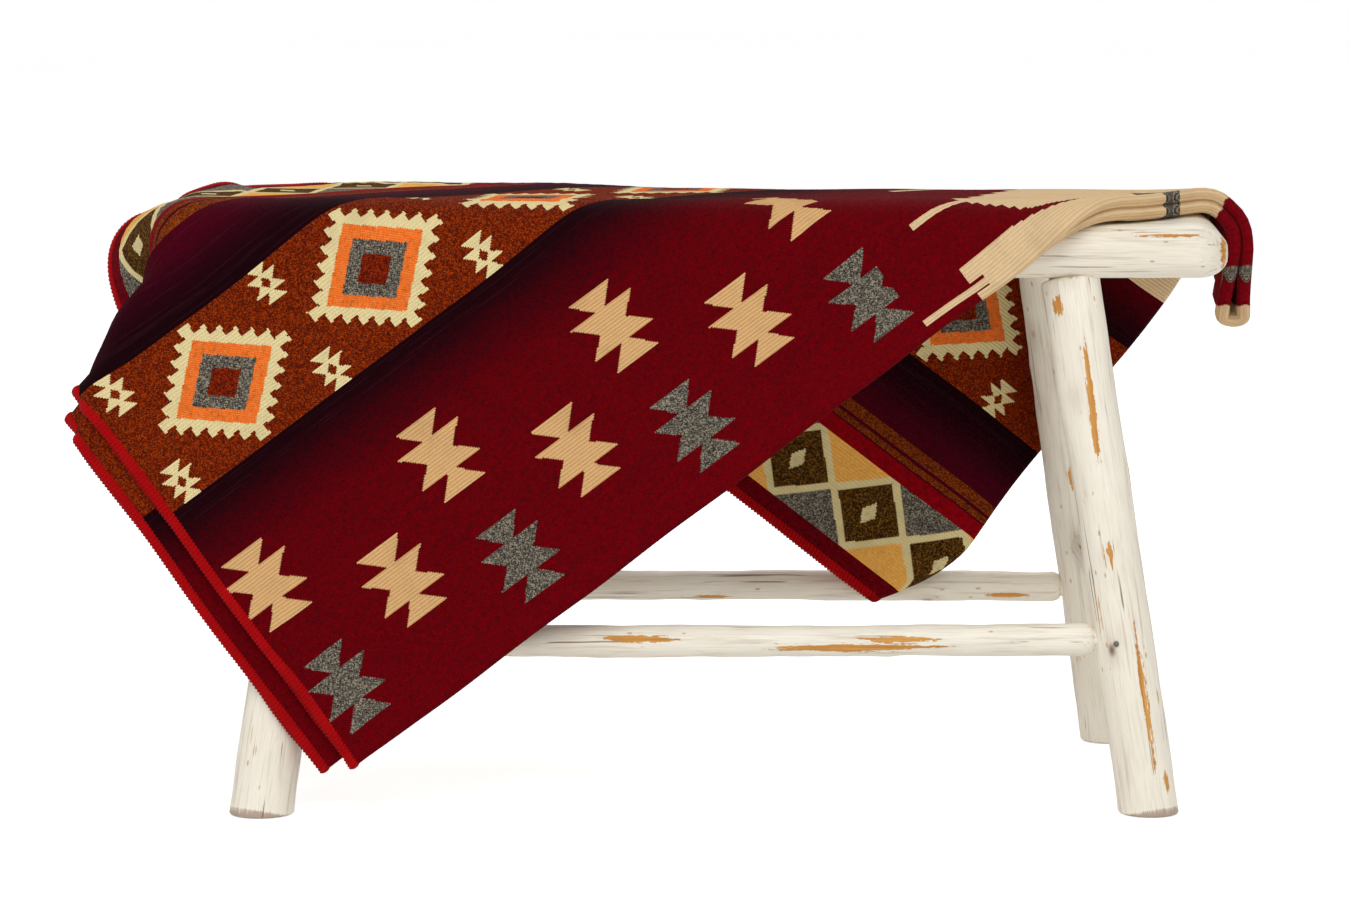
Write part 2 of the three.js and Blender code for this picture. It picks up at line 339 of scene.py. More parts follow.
class Field:
    """A number that varies over the surface, with arithmetic that adds Math nodes to its Book."""

    def __init__(self, book: Book, socket: NodeSocket) -> None:
        """Wraps one output socket."""
        self.book = book
        self.socket = socket

    def __add__(self, other: object) -> "Field":
        """Sum."""
        return self.book.math("ADD", self, other)

    def __sub__(self, other: object) -> "Field":
        """Difference."""
        return self.book.math("SUBTRACT", self, other)

    def __rsub__(self, other: object) -> "Field":
        """Difference from a plain number."""
        return self.book.math("SUBTRACT", other, self)

    def __mul__(self, other: object) -> "Field":
        """Product; of two masks, where both hold."""
        return self.book.math("MULTIPLY", self, other)

    def __or__(self, other: object) -> "Field":
        """The larger; of two masks, where either holds."""
        return self.book.math("MAXIMUM", self, other)

    def __and__(self, other: object) -> "Field":
        """The smaller; of two masks, where both hold."""
        return self.book.math("MINIMUM", self, other)

    def __lt__(self, other: object) -> "Field":
        """1 where this is less."""
        return self.book.math("LESS_THAN", self, other)

    def __gt__(self, other: object) -> "Field":
        """1 where this is more."""
        return self.book.math("GREATER_THAN", self, other)

    def __abs__(self) -> "Field":
        """Size without sign."""
        return self.book.math("ABSOLUTE", self)

    def between(self, low: float, high: float) -> "Field":
        """1 from low to high."""
        return (self > low) * (self < high)

    def stepped(self, step: float) -> "Field":
        """The middle of the cell of the given size that the value lies in."""
        return self.book.math("MULTIPLY_ADD", self.book.math("FLOOR", self * (1.0 / step)), step, step / 2)

    def folded(self, period: float, centre: float) -> "Field":
        """Distance from the nearest of the places centre + k * period, for k from -40 up."""
        return self.book.math("PINGPONG", self - (centre - period * 40), period / 2)

    def rise(self, start: float, end: float) -> "Field":
        """0 at start and 1 at end, with a straight line between."""
        made = self.book.node("ShaderNodeMapRange", clamp=True)
        return Field(self.book, self.book.fill(made, self, start, end, 0.0, 1.0).outputs[0])

    def wave(self, period: float) -> "Field":
        """Sine from -1 to 1 with the given period."""
        return self.book.math("SINE", self * (2 * math.pi / period))


def linear(r: float, g: float, b: float) -> tuple[float, float, float, float]:
    """A display colour, 0 to 255, as the linear colour that shaders take."""
    out = []
    for c in (r / 255, g / 255, b / 255):
        out.append(c / 12.92 if c <= 0.04045 else ((c + 0.055) / 1.055) ** 2.4)
    return (*out, 1.0)


def new_group(name: str, **inputs: str) -> tuple[NodeTree, Book, Node, Node]:
    """A shader node group whose outputs are Color, Roughness and Height.

    Args:
        name: the group's name.
        inputs: socket type by name.

    Returns:
        The tree, a Book on it, its input node and its output node.
    """
    tree = bpy.data.node_groups.new(name, "ShaderNodeTree")
    outputs = {"Color": COLOUR_SOCKET, "Roughness": VALUE_SOCKET, "Height": VALUE_SOCKET}
    for way, sockets in (("INPUT", inputs), ("OUTPUT", outputs)):
        for key, kind in sockets.items():
            tree.interface.new_socket(key, in_out=way, socket_type=kind)
    book = Book(tree)
    return tree, book, book.node("NodeGroupInput"), book.node("NodeGroupOutput")


def new_material(name: str) -> tuple[Material, Book, Node]:
    """A material with an empty Principled shader joined to its output.

    Returns:
        The material, a Book on its tree, and the shader node.
    """
    material = bpy.data.materials.new(name)
    material.use_nodes = True
    material.node_tree.nodes.clear()
    book = Book(material.node_tree)
    shader = book.node("ShaderNodeBsdfPrincipled")
    out = book.node("ShaderNodeOutputMaterial")
    material.node_tree.links.new(shader.outputs[0], out.inputs[0])
    return material, book, shader


def bump(book: Book, shader: Node, height: object, distance: float, strength: float = 1.0) -> None:
    """Joins a height to the shader's normal through one Bump node."""
    made = book.feed(book.node("ShaderNodeBump"), Strength=strength, Distance=distance, Height=height)
    book.put(shader.inputs["Normal"], made.outputs[0])


def group_material(
    name: str, effect: NodeTree, reads: Sequence[tuple[str, str, str]], depth: tuple[float, float]
) -> tuple[Material, Book, Node]:
    """A material that shows a finish's shared group.

    Args:
        name: the material's name.
        effect: the group.
        reads: the group's input, the piece's attribute that feeds it and the attribute's output, for each input.
        depth: the bump's distance in metres and its strength.

    Returns:
        The material, a Book on its tree, and the shader node.
    """
    material, b, shader = new_material(name)
    group = b.node("ShaderNodeGroup")
    group.node_tree = effect
    for key, attribute, out in reads:
        b.put(group.inputs[key], b.read(attribute, out))
    b.feed(shader, Base_Color=group.outputs["Color"], Roughness=group.outputs["Roughness"])
    bump(b, shader, group.outputs["Height"], *depth)
    return material, b, shader


# ---------------------------------------------------------------- finishes


@dataclass(frozen=True)
class LimedWood:
    """Cream limewash over pale wood: fine grain, small knots, and bare ochre wood where the wash has worn off."""

    wash: Colour = linear(248, 242, 226)
    wash_thin: Colour = linear(222, 208, 186)
    grain: Colour = linear(176, 150, 128)
    bare: Colour = linear(226, 166, 84)
    bare_dark: Colour = linear(182, 118, 52)
    knot: Colour = linear(96, 62, 40)
    rim: Colour = linear(128, 84, 48)

    def effect(self) -> NodeTree:
        """The shared group. In: Place (metres along the log in z), Wear, Cut. Out: Color, Roughness, Height."""
        tree, b, start, end = new_group("limed_wood", Place=VECTOR_SOCKET, Wear=VALUE_SOCKET, Cut=VALUE_SOCKET)
        place = start.outputs[0]
        wear, cut = (Field(b, start.outputs[i]) for i in (1, 2))
        broad, streak, fibre, crack, grime, flake = (b.grain(place, *kind) for kind in (
            (16, 5, 4, 0.62), (210, 9, 3, 0.6), (900, 26, 2, 0.6),
            (330, 7, 2, 0.5), (38, 16, 4, 0.65), (520, 150, 3, 0.7)))
        lines, split = streak.rise(0.56, 0.74), crack.rise(0.67, 0.72)

        # thin and thick wash, grain, hair cracks, knots with a halo, and small flecks
        dot, tone = b.dots(place, 30, 17, 0)
        knots, halo = (dot.rise(edge, core) * (tone > 0.66) for edge, core in ((0.13, 0.05), (0.34, 0.10)))
        speck, chosen = b.dots(place, 130, 55, 1)
        colour = b.coats(
            self.wash, (broad.rise(0.35, 0.75) * 0.55, self.wash_thin), (lines * 0.5, self.grain),
            (fibre.rise(0.5, 0.8) * 0.34, self.grain), (split * 0.7, self.knot), (halo * 0.25, self.grain),
            (knots * 0.85, self.knot), (speck.rise(0.17, 0.09) * (chosen > 0.8) * 0.6, self.bare_dark))

        # bare wood, in the worn patches with a ragged edge and in stray spots, and the dark rim of a sawn end
        ragged = (streak - 0.5) * 1.1 + (fibre - 0.5) * 0.5 + (flake - 0.5) * 0.9 + (grime - 0.5) * 0.5
        bared = (wear + ragged).rise(0.47, 0.49) | (grime * 0.6 + crack * 0.55).rise(0.715, 0.735) * 0.8
        timber = b.tint(streak.rise(0.35, 0.65), self.bare, self.bare_dark)
        timber = b.tint(fibre.rise(0.3, 0.7) * 0.5, timber, self.bare)
        rim = (cut + (grime - 0.5) * 0.35 + (fibre - 0.5) * 0.2).rise(0.84, 0.95)
        relief = (1.0 - bared) * 0.35 - lines * 0.16 - split * 0.5 + fibre * 0.16 - knots * 0.4 + broad * 0.3
        colour = b.coats(colour, (bared, timber), (rim * 0.6, self.rim))
        b.feed(end, Color=colour, Roughness=bared * 0.16 + lines * 0.1 + 0.56, Height=relief)
        return tree

    def material(self, effect: NodeTree) -> Material:
        """The wood's material, read from the piece's own log_place, log_wear and log_cut attributes."""
        reads = (("Place", "log_place", "Vector"), ("Wear", "log_wear", "Fac"), ("Cut", "log_cut", "Fac"))
        material, b, shader = group_material("whitewashed_wood", effect, reads, (0.0012, 0.7))
        b.feed(shader, Specular_IOR_Level=0.35)
        return material


@dataclass(frozen=True)
class WovenWool:
    """Napped wool woven in stripes, stars, stepped rhombs and a comb-edged middle figure; sizes in millimetres.

    A point's place is u, its distance from the nearer short hem, and v, its distance from the lengthwise fold. Both
    are taken at the middle of a yarn cell, so that every slanted edge is a stair of single yarns. Bands and stripes
    run from one v to another. A row repeats along u by its pitch from its first place. Half sizes are along u and v.
    """

    width: float = 585.0
    middle_line: float = 1040.0
    cell: float = 1.45
    fleck: float = 1.05
    star_pitch: float = 180.0
    cream_rows: tuple[tuple[float, float], ...] = ((34, 170), (126, 104))
    grey_row: tuple[float, float] = (36, 61)
    stars_end: float = 596.0
    rust_band: tuple[float, float] = (266, 389)
    rust_middle: float = 327.5
    rust_pitch: float = 158.0
    rust_first: float = 107.0
    rust_half: tuple[float, float] = (61.0, 53.0)
    small_first: float = 28.0
    small_out: float = 46.0
    stripes: tuple[tuple[float, float], ...] = ((452, 462), (465, 471))
    red_stripe: tuple[float, float] = (472, 487)
    rhomb_band: tuple[float, float] = (486.5, 563.5)
    rhomb_middle: float = 525.0
    rhomb_pitch: float = 80.0
    rhomb_first: float = 68.0
    rhomb_half: tuple[float, float] = (40.0, 38.5)
    red: Colour = linear(140, 4, 18)
    black: Colour = linear(20, 6, 14)
    cream: Colour = linear(220, 180, 124)
    cream_shade: Colour = linear(205, 128, 78)
    pale: Colour = linear(232, 214, 158)
    grey: Colour = linear(112, 106, 94)
    rust: Colour = linear(134, 38, 3)
    rust_dark: Colour = linear(66, 19, 5)
    orange: Colour = linear(248, 116, 38)
    orange_light: Colour = linear(250, 146, 76)
    mustard: Colour = linear(242, 172, 78)
    olive: Colour = linear(88, 58, 16)
    beige: Colour = linear(228, 200, 156)
    sheen: Colour = (1.0, 0.45, 0.45, 1.0)
    shades: tuple[tuple[float, Colour], ...] = (
        (0, (112, 1, 10)), (70, (108, 1, 9)), (140, (106, 1, 8)), (190, (102, 1, 8)), (205, (92, 1, 9)),
        (218, (80, 1, 9)), (232, (66, 2, 9)), (246, (44, 3, 9)), (258, (28, 3, 8)), (400, (26, 3, 8)),
        (418, (46, 3, 16)), (440, (74, 2, 22)), (470, (84, 2, 22)),
    )

    def star(self, u: Field, v: Field, scale: float) -> Field:
        """A flat-ended star of eight points.

        Its half width along u grows from 13 to 31 over the first 16 of v, falls to 5 at 18, and grows to 21 at 35,
        where it ends; all times scale.

        Args:
            u: distance from the centre along the sheet.
            v: distance from the centre across it.
            scale: size, 1 for a full one.

        Returns:
            1 on the star.
        """
        u, v = abs(u) * (1 / scale), abs(v) * (1 / scale)
        inner = (v < 16.5) * (u < v.rise(0, 16.5) * 18 + 13)
        outer = (v > 16.0) * (v < 35) * (u < v.rise(17, 35) * 17 + 4.5)
        return inner | outer

    def star_row(self, u: Field, v: Field, first: float, centre: float) -> Field:
        """Stars at first + k * star_pitch along u, centred at the given v, up to where the stars end."""
        return self.star(u.folded(self.star_pitch, first), v - centre, 1.0) * (u < self.stars_end)

    def rhombic(self, du: Field, dv: Field, half: tuple[float, float]) -> Field:
        """Distance from a rhomb's centre, 1 on the rhomb of the given half sizes."""
        return du * (1 / half[0]) + dv * (1 / half[1])

    def effect(self) -> NodeTree:
        """The shared group. In: Place (metres along and across the open sheet). Out: Color, Roughness, Height."""
        tree, b, start, end = new_group("woven_wool", Place=VECTOR_SOCKET)
        along, across, _ = b.split(start.outputs[0])
        along, across = along * 1000, abs(across * 1000)
        near = self.middle_line - abs(along - self.middle_line)
        u, v = near.stepped(self.cell), across.stepped(self.cell)

        # one random number for each crossing of two yarns, with a chequer in the first, and one for each small group
        weft, warp = (b.math("FLOOR", way * (1 / self.fleck)) for way in (near, across))
        crossing = near.stepped(self.fleck), across.stepped(self.fleck)
        pick = b.chance(*crossing) * 0.66 + b.math("FLOORED_MODULO", weft + warp, 2.0) * 0.34
        pick2 = b.chance(*crossing, 3.7)
        pair = b.chance(near.stepped(self.fleck * 3), across.stepped(self.fleck * 2), 1.3)
        heather = pick * 0.65 + pair * 0.35
        # large soft patches: darkened in the colour below as painted changes of the nap's sheen, and raised a little
        # in the relief
        nap_sheen_cloud = b.noise(start.outputs[0], 26, 3, 0.6)
        ribs = across.wave(2.9)

        # ground shading from the lengthwise fold outwards, with faint long threads in its dark part
        shades = [(at / self.width, linear(*shade)) for at, shade in self.shades]
        ground = b.ramp((v + (heather - 0.5) * 16) * (1 / self.width), shades)
        threads = (b.chance(v, 7.0) > 0.72) * b.noise(b.combine(near * 0.004, v * 10.0), 6.0, 2).rise(0.4, 0.6)
        ground = b.coats(
            ground, (heather.rise(0.55, 1.0) * 0.55, self.black),
            (heather.rise(0.28, 0.0) * 0.3 * v.rise(215, 150), linear(176, 2, 14)),
            (threads * v.between(225, 460) * 0.055, linear(110, 60, 66)))

        # yarns: plain pale, ribbed cream and beige, and the flecked ones
        cream = b.tint(ribs.rise(0.1, 0.95) * 0.6, self.cream, self.cream_shade)
        pale = b.tint(ribs.rise(0.2, 0.95) * 0.22, self.pale, linear(190, 160, 105))
        beige = b.tint(ribs.rise(-0.2, 0.95) * 0.45, self.beige, linear(206, 150, 100))
        salt = b.coats(
            self.grey, ((pick > 0.55) * 0.85, linear(48, 43, 40)), ((pick2 > 0.80) * 0.75, linear(168, 158, 136)))
        rust = b.coats(
            self.rust, ((pick > 0.5) * 0.62, self.rust_dark), ((pick2 > 0.76) * 0.28, linear(206, 92, 22)),
            ((pick2 < 0.2) * 0.5, self.black))
        olive = b.coats(
            self.olive, (pick > 0.55, linear(44, 28, 10)), ((pick2 > 0.8) * 0.6, linear(150, 104, 40)))
        orange = b.tint((pick > 0.6) * 0.6, self.orange, self.orange_light)
        mustard = b.tint((pick > 0.6) * 0.5, self.mustard, linear(252, 204, 120))
        stripe = b.tint((pick > 0.45) * 0.8, linear(150, 66, 14), linear(76, 26, 10))
        core = b.tint(pick > 0.5, linear(140, 40, 8), linear(86, 20, 6))
        red_line = b.tint(heather, linear(168, 4, 18), linear(112, 2, 14))
        wine = b.tint(heather.rise(0.1, 0.9), linear(132, 4, 18), linear(70, 2, 12))
        heart_red = b.tint(heather.rise(0.1, 0.9), self.red, linear(100, 2, 14))

        # two rows of cream stars and one of grey ones, which stop short of the middle figure
        far, close = (self.star_row(u, v, *row) for row in self.cream_rows)
        stars = far | close

        # rust band: toothed rhombs in a row, and two small pierced stars between each two
        band = v.between(*self.rust_band)
        du, dv = u.folded(self.rust_pitch, self.rust_first), abs(v - self.rust_middle)
        beside, apart = u.folded(self.rust_pitch, self.small_first), abs(dv - self.small_out)
        small = self.star(beside, apart, 0.49)
        hole = self.rhombic(beside, apart, (4.6, 5.6)) < 1.0
        size = self.rhombic(du, dv, self.rust_half)
        along_side = abs(du * (1 / self.rust_half[0]) - dv * (1 / self.rust_half[1]))
        teeth = b.math("PINGPONG", along_side * 3.0 + 0.5, 0.5) * 0.46
        whole = u > 30
        bordered = (size < (teeth + 0.97)) * whole

        # band of outlined rhombs, with the gaps between them in two yarns by turns
        band2 = v.between(*self.rhomb_band)
        pitch, first = self.rhomb_pitch, self.rhomb_first
        odd = b.math("MODULO", b.math("FLOOR", (u + (pitch * 40 - first)) * (1 / pitch)), 2.0)
        du2, dv2 = u.folded(pitch, first), v - self.rhomb_middle
        gaps = b.tint(abs(odd - (dv2 > 0.0)) > 0.5, mustard, salt)
        size2 = self.rhombic(du2, abs(dv2), self.rhomb_half)
        seed = self.rhombic(du2, abs(dv2), (7.2, 12.0)) < 1.0
        rhombs = b.coats(gaps, (size2 < 1.10, b.coats(pale, (size2 < 0.865, olive), (seed, pale))))

        # middle figure, its spots, the red heart over its middle and what stands in the heart
        figure = self.middle(u, v)
        spot = self.rhombic(abs(u - 852), abs(v - 20), (19.0, 32.0))
        heart, tip = (self.rhombic(self.middle_line - u, v, half) < 1.0 for half in ((136.0, 150.0), (25.0, 32.0)))

        colour = b.coats(
            ground, (stars, cream), (self.star_row(u, v, *self.grey_row), salt),
            (band, rust), (bordered * band, pale), (small * (1.0 - hole) * band, pale),
            ((size < 0.83) * whole, orange), (size < 0.56, salt), (size < 0.295, core),
            *((v.between(*place), stripe) for place in self.stripes), (v.between(*self.red_stripe), red_line),
            (band2, rhombs), (v > self.rhomb_band[1], wine),
            (figure, beige), (figure * (spot < 1.0), salt), (figure * (spot < 0.4), self.red),
            (heart, heart_red), (self.star(u - 981, v - 18, 0.62), salt), (tip, beige))

        # napped surface: soft dark patches everywhere, which are painted changes of sheen where the nap lies different
        # ways, and mottle and twill where the yarn isn't pale
        light = figure | stars | ((bordered | small) * band * (size > 0.83)) | (band2 * (size2 > 0.865))
        dark = 1.0 - light
        mottle = b.noise(start.outputs[0], 210, 3, 0.75)
        diagonal = (near + across).wave(2.6)
        colour = b.coats(
            colour, (nap_sheen_cloud.rise(0.5, 0.85) * 0.22, self.black), (mottle.rise(0.5, 0.72) * dark * 0.42, self.black),
            (diagonal.rise(0.0, -1.0) * dark * 0.22, self.black))
        twill = diagonal * 0.20 + (near - across).wave(3.1) * 0.16
        nap = b.noise(start.outputs[0], 950, 2, 0.7)
        relief = nap * 0.9 + twill * dark + ribs * light * 0.55 + pick * 0.35 + nap_sheen_cloud * 0.6
        b.feed(end, Color=colour, Roughness=pick * 0.12 + 0.84, Height=relief)
        return tree

    def middle(self, u: Field, v: Field) -> Field:
        """The figure about the sheet's middle.

        It is a tongue near the lengthwise fold with a notch in its end, and beyond v = 33 a diamond whose edge is
        stairs of 8. Three thin bars reach out of it, and a wedge is cut in at the foot of the diamond.
        """
        stair = v.stepped(8.0)
        low = (v < 33) * (u > 648) * (1.0 - v.between(8, 19) * (u < 661))
        high = v.between(33, 214) * (u > (stair.rise(80, 33) * 36 + 690)) * (u > (stair.rise(95, 214) * 297 + 690))
        bars = (v.between(9.5, 16) * (u > 598)) | (v.between(80, 86) * (u > 637)) | (v.between(180, 188) * (u > 700))
        wedge = abs(v - (u.rise(700, 775) * -17 + 39)) < (u.rise(775, 700) * 6)
        return (low | high) * (1.0 - wedge) | bars

    def material(self, effect: NodeTree) -> Material:
        """The cloth's material, read from the sheet's own cloth_place attribute."""
        reads = (("Place", "cloth_place", "Vector"),)
        material, b, shader = group_material("blanket_cloth", effect, reads, (0.0007, 0.8))
        b.feed(shader, Specular_IOR_Level=0.02, Sheen_Weight=0.025, Sheen_Roughness=0.5, Sheen_Tint=self.sheen)
        return material


@dataclass(frozen=True)
class EdgeYarn:
    """Bright red overlock yarn, thrown over the edge in slanting stitches, with painted shade in the grooves between
    them.
    """

    bright: Colour = linear(202, 5, 8)
    deep: Colour = linear(128, 2, 8)

    def material(self) -> Material:
        """The yarn's material, read from the roll's own stitch attribute (turns along, around)."""
        material, b, shader = new_material("edge_yarn")
        stitch = b.read("stitch")
        along, around, _ = b.split(stitch)
        fibre = b.noise(b.scaled(stitch, (3.0, 1.2, 1.0)), 9.0, 3, 0.7)
        slow = b.noise(b.scaled(stitch, (0.11, 0.3, 1.0)), 1.0, 2, 0.5)
        # valley is low in the grooves between stitches; the colour darkens there as painted shade, and the bump sinks
        # there too
        valley = (along + around * 0.5).wave(1.0)
        colour = b.coats(
            self.bright, (fibre.rise(0.3, 0.75), self.deep), (valley.rise(0.1, -0.9) * 0.6, self.deep),
            (slow.rise(0.45, 0.8) * 0.2, linear(226, 24, 20)))
        b.feed(shader, Base_Color=colour, Roughness=fibre * 0.2 + 0.68, Sheen_Weight=0.03, Specular_IOR_Level=0.05)
        bump(b, shader, fibre + valley * 0.4, 0.0006, 0.8)
        return material


@dataclass(frozen=True)
class BradSteel:
    """Dull steel of a small nail, darker in its pits."""

    steel: Colour = linear(150, 146, 140)
    tarnish: Colour = linear(92, 78, 64)

    def material(self) -> Material:
        """The nail's material, on object coordinates."""
        material, b, shader = new_material("brad_steel")
        place = b.node("ShaderNodeTexCoord").outputs["Object"]
        spots = b.noise(place, 900, 3, 0.6)
        colour = b.tint(spots.rise(0.4, 0.7), self.steel, self.tarnish)
        b.feed(shader, Base_Color=colour, Roughness=spots * 0.3 + 0.3, Metallic=1.0)
        bump(b, shader, spots, 0.0002, 0.6)
        return material


# ---------------------------------------------------------------- bench


@dataclass(frozen=True)
class BenchSizes:
    """The bench's driving sizes in millimetres about its own middle, with the floor at 0.

    The seat's right end is trimmed and slopes down by end_slope over its last end_slope_run. The legs stand in at the
    foot or the head by the *_in sizes.
    """

    seat_length: float = 912.0
    seat_depth: float = 250.0
    seat_thickness: float = 50.0
    seat_height: float = 500.0
    nose: float = 21.0
    corner: float = 34.0
    leg_radius: float = 26.0
    leg_x: float = 311.0
    leg_y: float = 95.0
    splay_x: float = 66.0
    splay_y: float = 71.0
    tenon_radius: float = 17.0
    tenon_length: float = 33.5
    stretcher_tenon: float = 8.7
    past_centre: float = 6.0
    shoulder: float = 14.0
    end_trim: float = 9.0
    crown_left: float = 0.0002
    crown_right: float = 0.00157
    front_fall: float = 5.0
    back_head_in: float = 7.0
    back_foot_in: float = 5.0
    left_foot_in: float = 7.0
    end_slope: float = 5.0
    end_slope_run: float = 34.0

    @property
    def underside(self) -> float:
        """Height of the seat's underside."""
        return self.seat_height - self.seat_thickness

    def trim(self, x: Array) -> Array:
        """How far the seat's sawn right end is drawn in at x."""
        return self.end_trim * smooth_step((x - 200.0) / 250.0)

    def fall(self, x: Array, y: Array) -> Array:
        """How far the hewn top lies below its crown.

        Behind the middle it falls by crown * y^2, the crown growing to the right, and in front it falls a little
        towards the right end.

        Args:
            x: places along the seat.
            y: places across it.

        Returns:
            The drop in mm at each place.
        """
        inner = np.clip(y, self.nose - self.seat_depth / 2, self.seat_depth / 2 - self.nose)
        crown = self.crown_left + (self.crown_right - self.crown_left) * smooth_step((x + 150.0) / 300.0)
        front = self.front_fall * smooth_step(-inner / 100.0) * smooth_step((x - 150.0) / 250.0)
        return crown * np.maximum(inner, 0) ** 2 + front

    def middle(self) -> Array:
        """The bench's middle on the floor in the frame, in metres, from the seat's own box."""
        low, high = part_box("seat_log")
        return np.array([(low.x + high.x) / 2, (low.y + high.y) / 2, 0.0])

    def leg_axis(self, side_x: int, side_y: int) -> tuple[Array, Array]:
        """A leg's foot on the floor and its head at the seat's underside, about the bench's middle.

        Args:
            side_x: -1 for the left, 1 for the right.
            side_y: -1 for the front, 1 for the back.

        Returns:
            The foot and the head.
        """
        foot_in, head_in = (self.back_foot_in, self.back_head_in) if side_y > 0 else (0.0, 0.0)
        if side_y > 0 > side_x:
            foot_in += self.left_foot_in
        foot = np.array([side_x * (self.leg_x + self.splay_x - foot_in), side_y * (self.leg_y + self.splay_y), 0.0])
        head = np.array([side_x * (self.leg_x - head_in), side_y * self.leg_y, self.underside])
        return foot, head


@dataclass(frozen=True)
class WornPatch:
    """A place where the wash has worn off a log: its middle and half sizes, along the log and round it, in mm."""

    along: float
    around: float
    half_along: float
    half_around: float


def log_ripple(along: Array, turn: Array, seed: float) -> Array:
    """Hand-peeled unevenness of a log in mm: five slow sines along and around it, out of step by the seed."""
    total = np.zeros(np.broadcast(along, turn).shape)
    waves = ((0.011, 2, 0.42), (0.023, 3, 0.26), (0.041, 1, 0.24), (0.068, 4, 0.13), (0.12, 2, 0.08))
    for k, (per_mm, lobes, size) in enumerate(waves):
        total = total + size * np.sin(along * per_mm * (1 + 0.13 * seed) + lobes * turn + seed * (k + 1) * 1.7)
    return total


@dataclass
class RoundLog:
    """A peeled pole with a tenon at one or both ends.

    The skin is a ring of radius r(a) carried along the pole's axis a. r(a) is the pole's radius less a little ripple,
    drawn in to the tenon's radius over a rounded shoulder. The axis itself bows by a millimetre or so.
    """

    name: str
    slot: str
    low: Array
    high: Array
    radius: float
    tenon_low: tuple[float, float, float]
    tenon_high: tuple[float, float, float]
    seed: float
    bow: float
    patches: tuple[WornPatch, ...]
    level_foot: bool = False
    sides: int = 56

    def cap(self, tenon: float, reach: float) -> tuple[list[float], list[float]]:
        """Distances inside one end and the radii there: a tenon of that reach, or a sawn end with a small round."""
        if reach > 0:
            return [-reach, -reach, 1.0 - reach, *np.linspace(4 - reach, -0.2, 5)], [0.0, tenon - 1.0] + [tenon] * 6
        return [0.0, 0.0, 0.0, 1.3], [0.0, self.radius * 0.55, self.radius - 1.6, self.radius]

    def stations(self, length: float) -> tuple[Array, Array]:
        """Places along the axis from the lower end and the radius at each, tenons and end caps among them."""
        even, close = np.linspace(0, length, max(int(length / 4.5), 8)), np.linspace(0, 16, 12)
        body = np.unique(np.concatenate([close, even[(even > 17) & (even < length - 17)], length - close]).round(4))
        radius = np.full_like(body, self.radius)
        for away, (tenon, reach, shoulder) in ((body, self.tenon_low), (length - body, self.tenon_high)):
            if reach > 0:
                draw = np.sqrt(1 - (1 - np.clip(away / shoulder, 0, 1)) ** 2)
                radius = np.where(away < shoulder, tenon + (radius - tenon) * draw, radius)
        (low, low_radii), (high, high_radii) = (self.cap(*end[:2]) for end in (self.tenon_low, self.tenon_high))
        inside = slice(0 if self.tenon_low[1] > 0 else 1, None if self.tenon_high[1] > 0 else -1)
        places = np.concatenate([low, body[inside], length - np.array(high)[::-1]])
        return places, np.concatenate([low_radii, radius[inside], high_radii[::-1]])

    def attributes(self, verts: Array, across: tuple[Array, Array], axis: Array, length: float) -> dict[str, Array]:
        """The grain's place, the wear in the patches and the sawn ends, at each vertex.

        Args:
            verts: the vertices in mm.
            across: the two directions square to the axis.
            axis: the direction of the axis.
            length: the length of the body.

        Returns:
            The attributes by name.
        """
        local = verts - self.low
        front, side, along = local @ across[0], local @ across[1], local @ axis
        around = np.arctan2(side, front)
        wear, cut = np.zeros(len(verts)), np.zeros(len(verts))
        for patch in self.patches:
            gap = np.angle(np.exp(1j * (around - patch.around))) * self.radius
            wear = worn(np.hypot((along - patch.along) / patch.half_along, gap / patch.half_around), wear)
        if self.level_foot:
            cut = np.maximum(np.clip(1 - along / 16.0, 0, 1), np.clip(1 - (length - along) / 24.0, 0, 1) * 0.9)
        place = np.stack([front, side, along], -1) * MM + self.seed * np.array([3.1, 1.7, 5.3])
        return {"log_place": place, "log_wear": wear, "log_cut": cut}

    def build(self, middle: Array) -> Object:
        """Makes the pole's mesh and its log_place, log_wear and log_cut attributes.

        Args:
            middle: the bench's middle in the frame, in metres.

        Returns:
            The finished object.
        """
        axis = unit(self.high - self.low)
        length = float(np.linalg.norm(self.high - self.low))
        side = unit(np.cross(axis, [0.3, 1.0, 0.2] if abs(axis[1]) < 0.9 else [1.0, 0.0, 0.0]))
        front = np.cross(side, axis)
        if front[1] > 0 or (abs(front[1]) < 0.1 and front[0] > 0):
            front, side = -front, -side
        places, radii = (values[:, None] for values in self.stations(length))
        a, turn = places, (np.arange(self.sides) * 2 * np.pi / self.sides)[None, :]

        # the radius: ripple on the body alone, and three small knots
        on_body = smooth_step(np.minimum(a, length - a) / 30.0) * (a > 0) * (a < length)
        ripple = (log_ripple(a, turn, self.seed) - 0.75) * (radii > self.radius * 0.98)
        r = radii + ripple * (0.35 + 0.65 * on_body)
        for knot in range(3):
            where = length * (0.18 + 0.31 * knot + 0.07 * math.sin(self.seed * (knot + 2)))
            gap = np.angle(np.exp(1j * (turn - self.seed * 2.3 - knot * 2.1))) * self.radius
            r = r + 0.9 * np.exp(-((a - where) / 9.0) ** 2 - (gap / 7.0) ** 2) * on_body
        r = np.minimum(r, self.radius + 0.6)

        # the ring carried along the bowed axis, and a foot that is cut level with the floor
        ring = np.cos(turn)[..., None] * front + np.sin(turn)[..., None] * side
        bowed = self.bow * np.sin(np.pi * np.clip(a / length, 0, 1)) * np.cos(self.seed * 3)
        points = self.low + a[..., None] * axis + bowed[..., None] * (side * 0.8 + front * 0.6) + r[..., None] * ring
        if self.level_foot:
            slide = -points[..., 2] / axis[2]
            sunk = np.where(points[..., 2] < 1.5, slide + 1.6, 0.0)
            points = points + np.where(a <= 1.4, slide + np.where(a > 0.5, 1.3, 0.0), sunk)[..., None] * axis

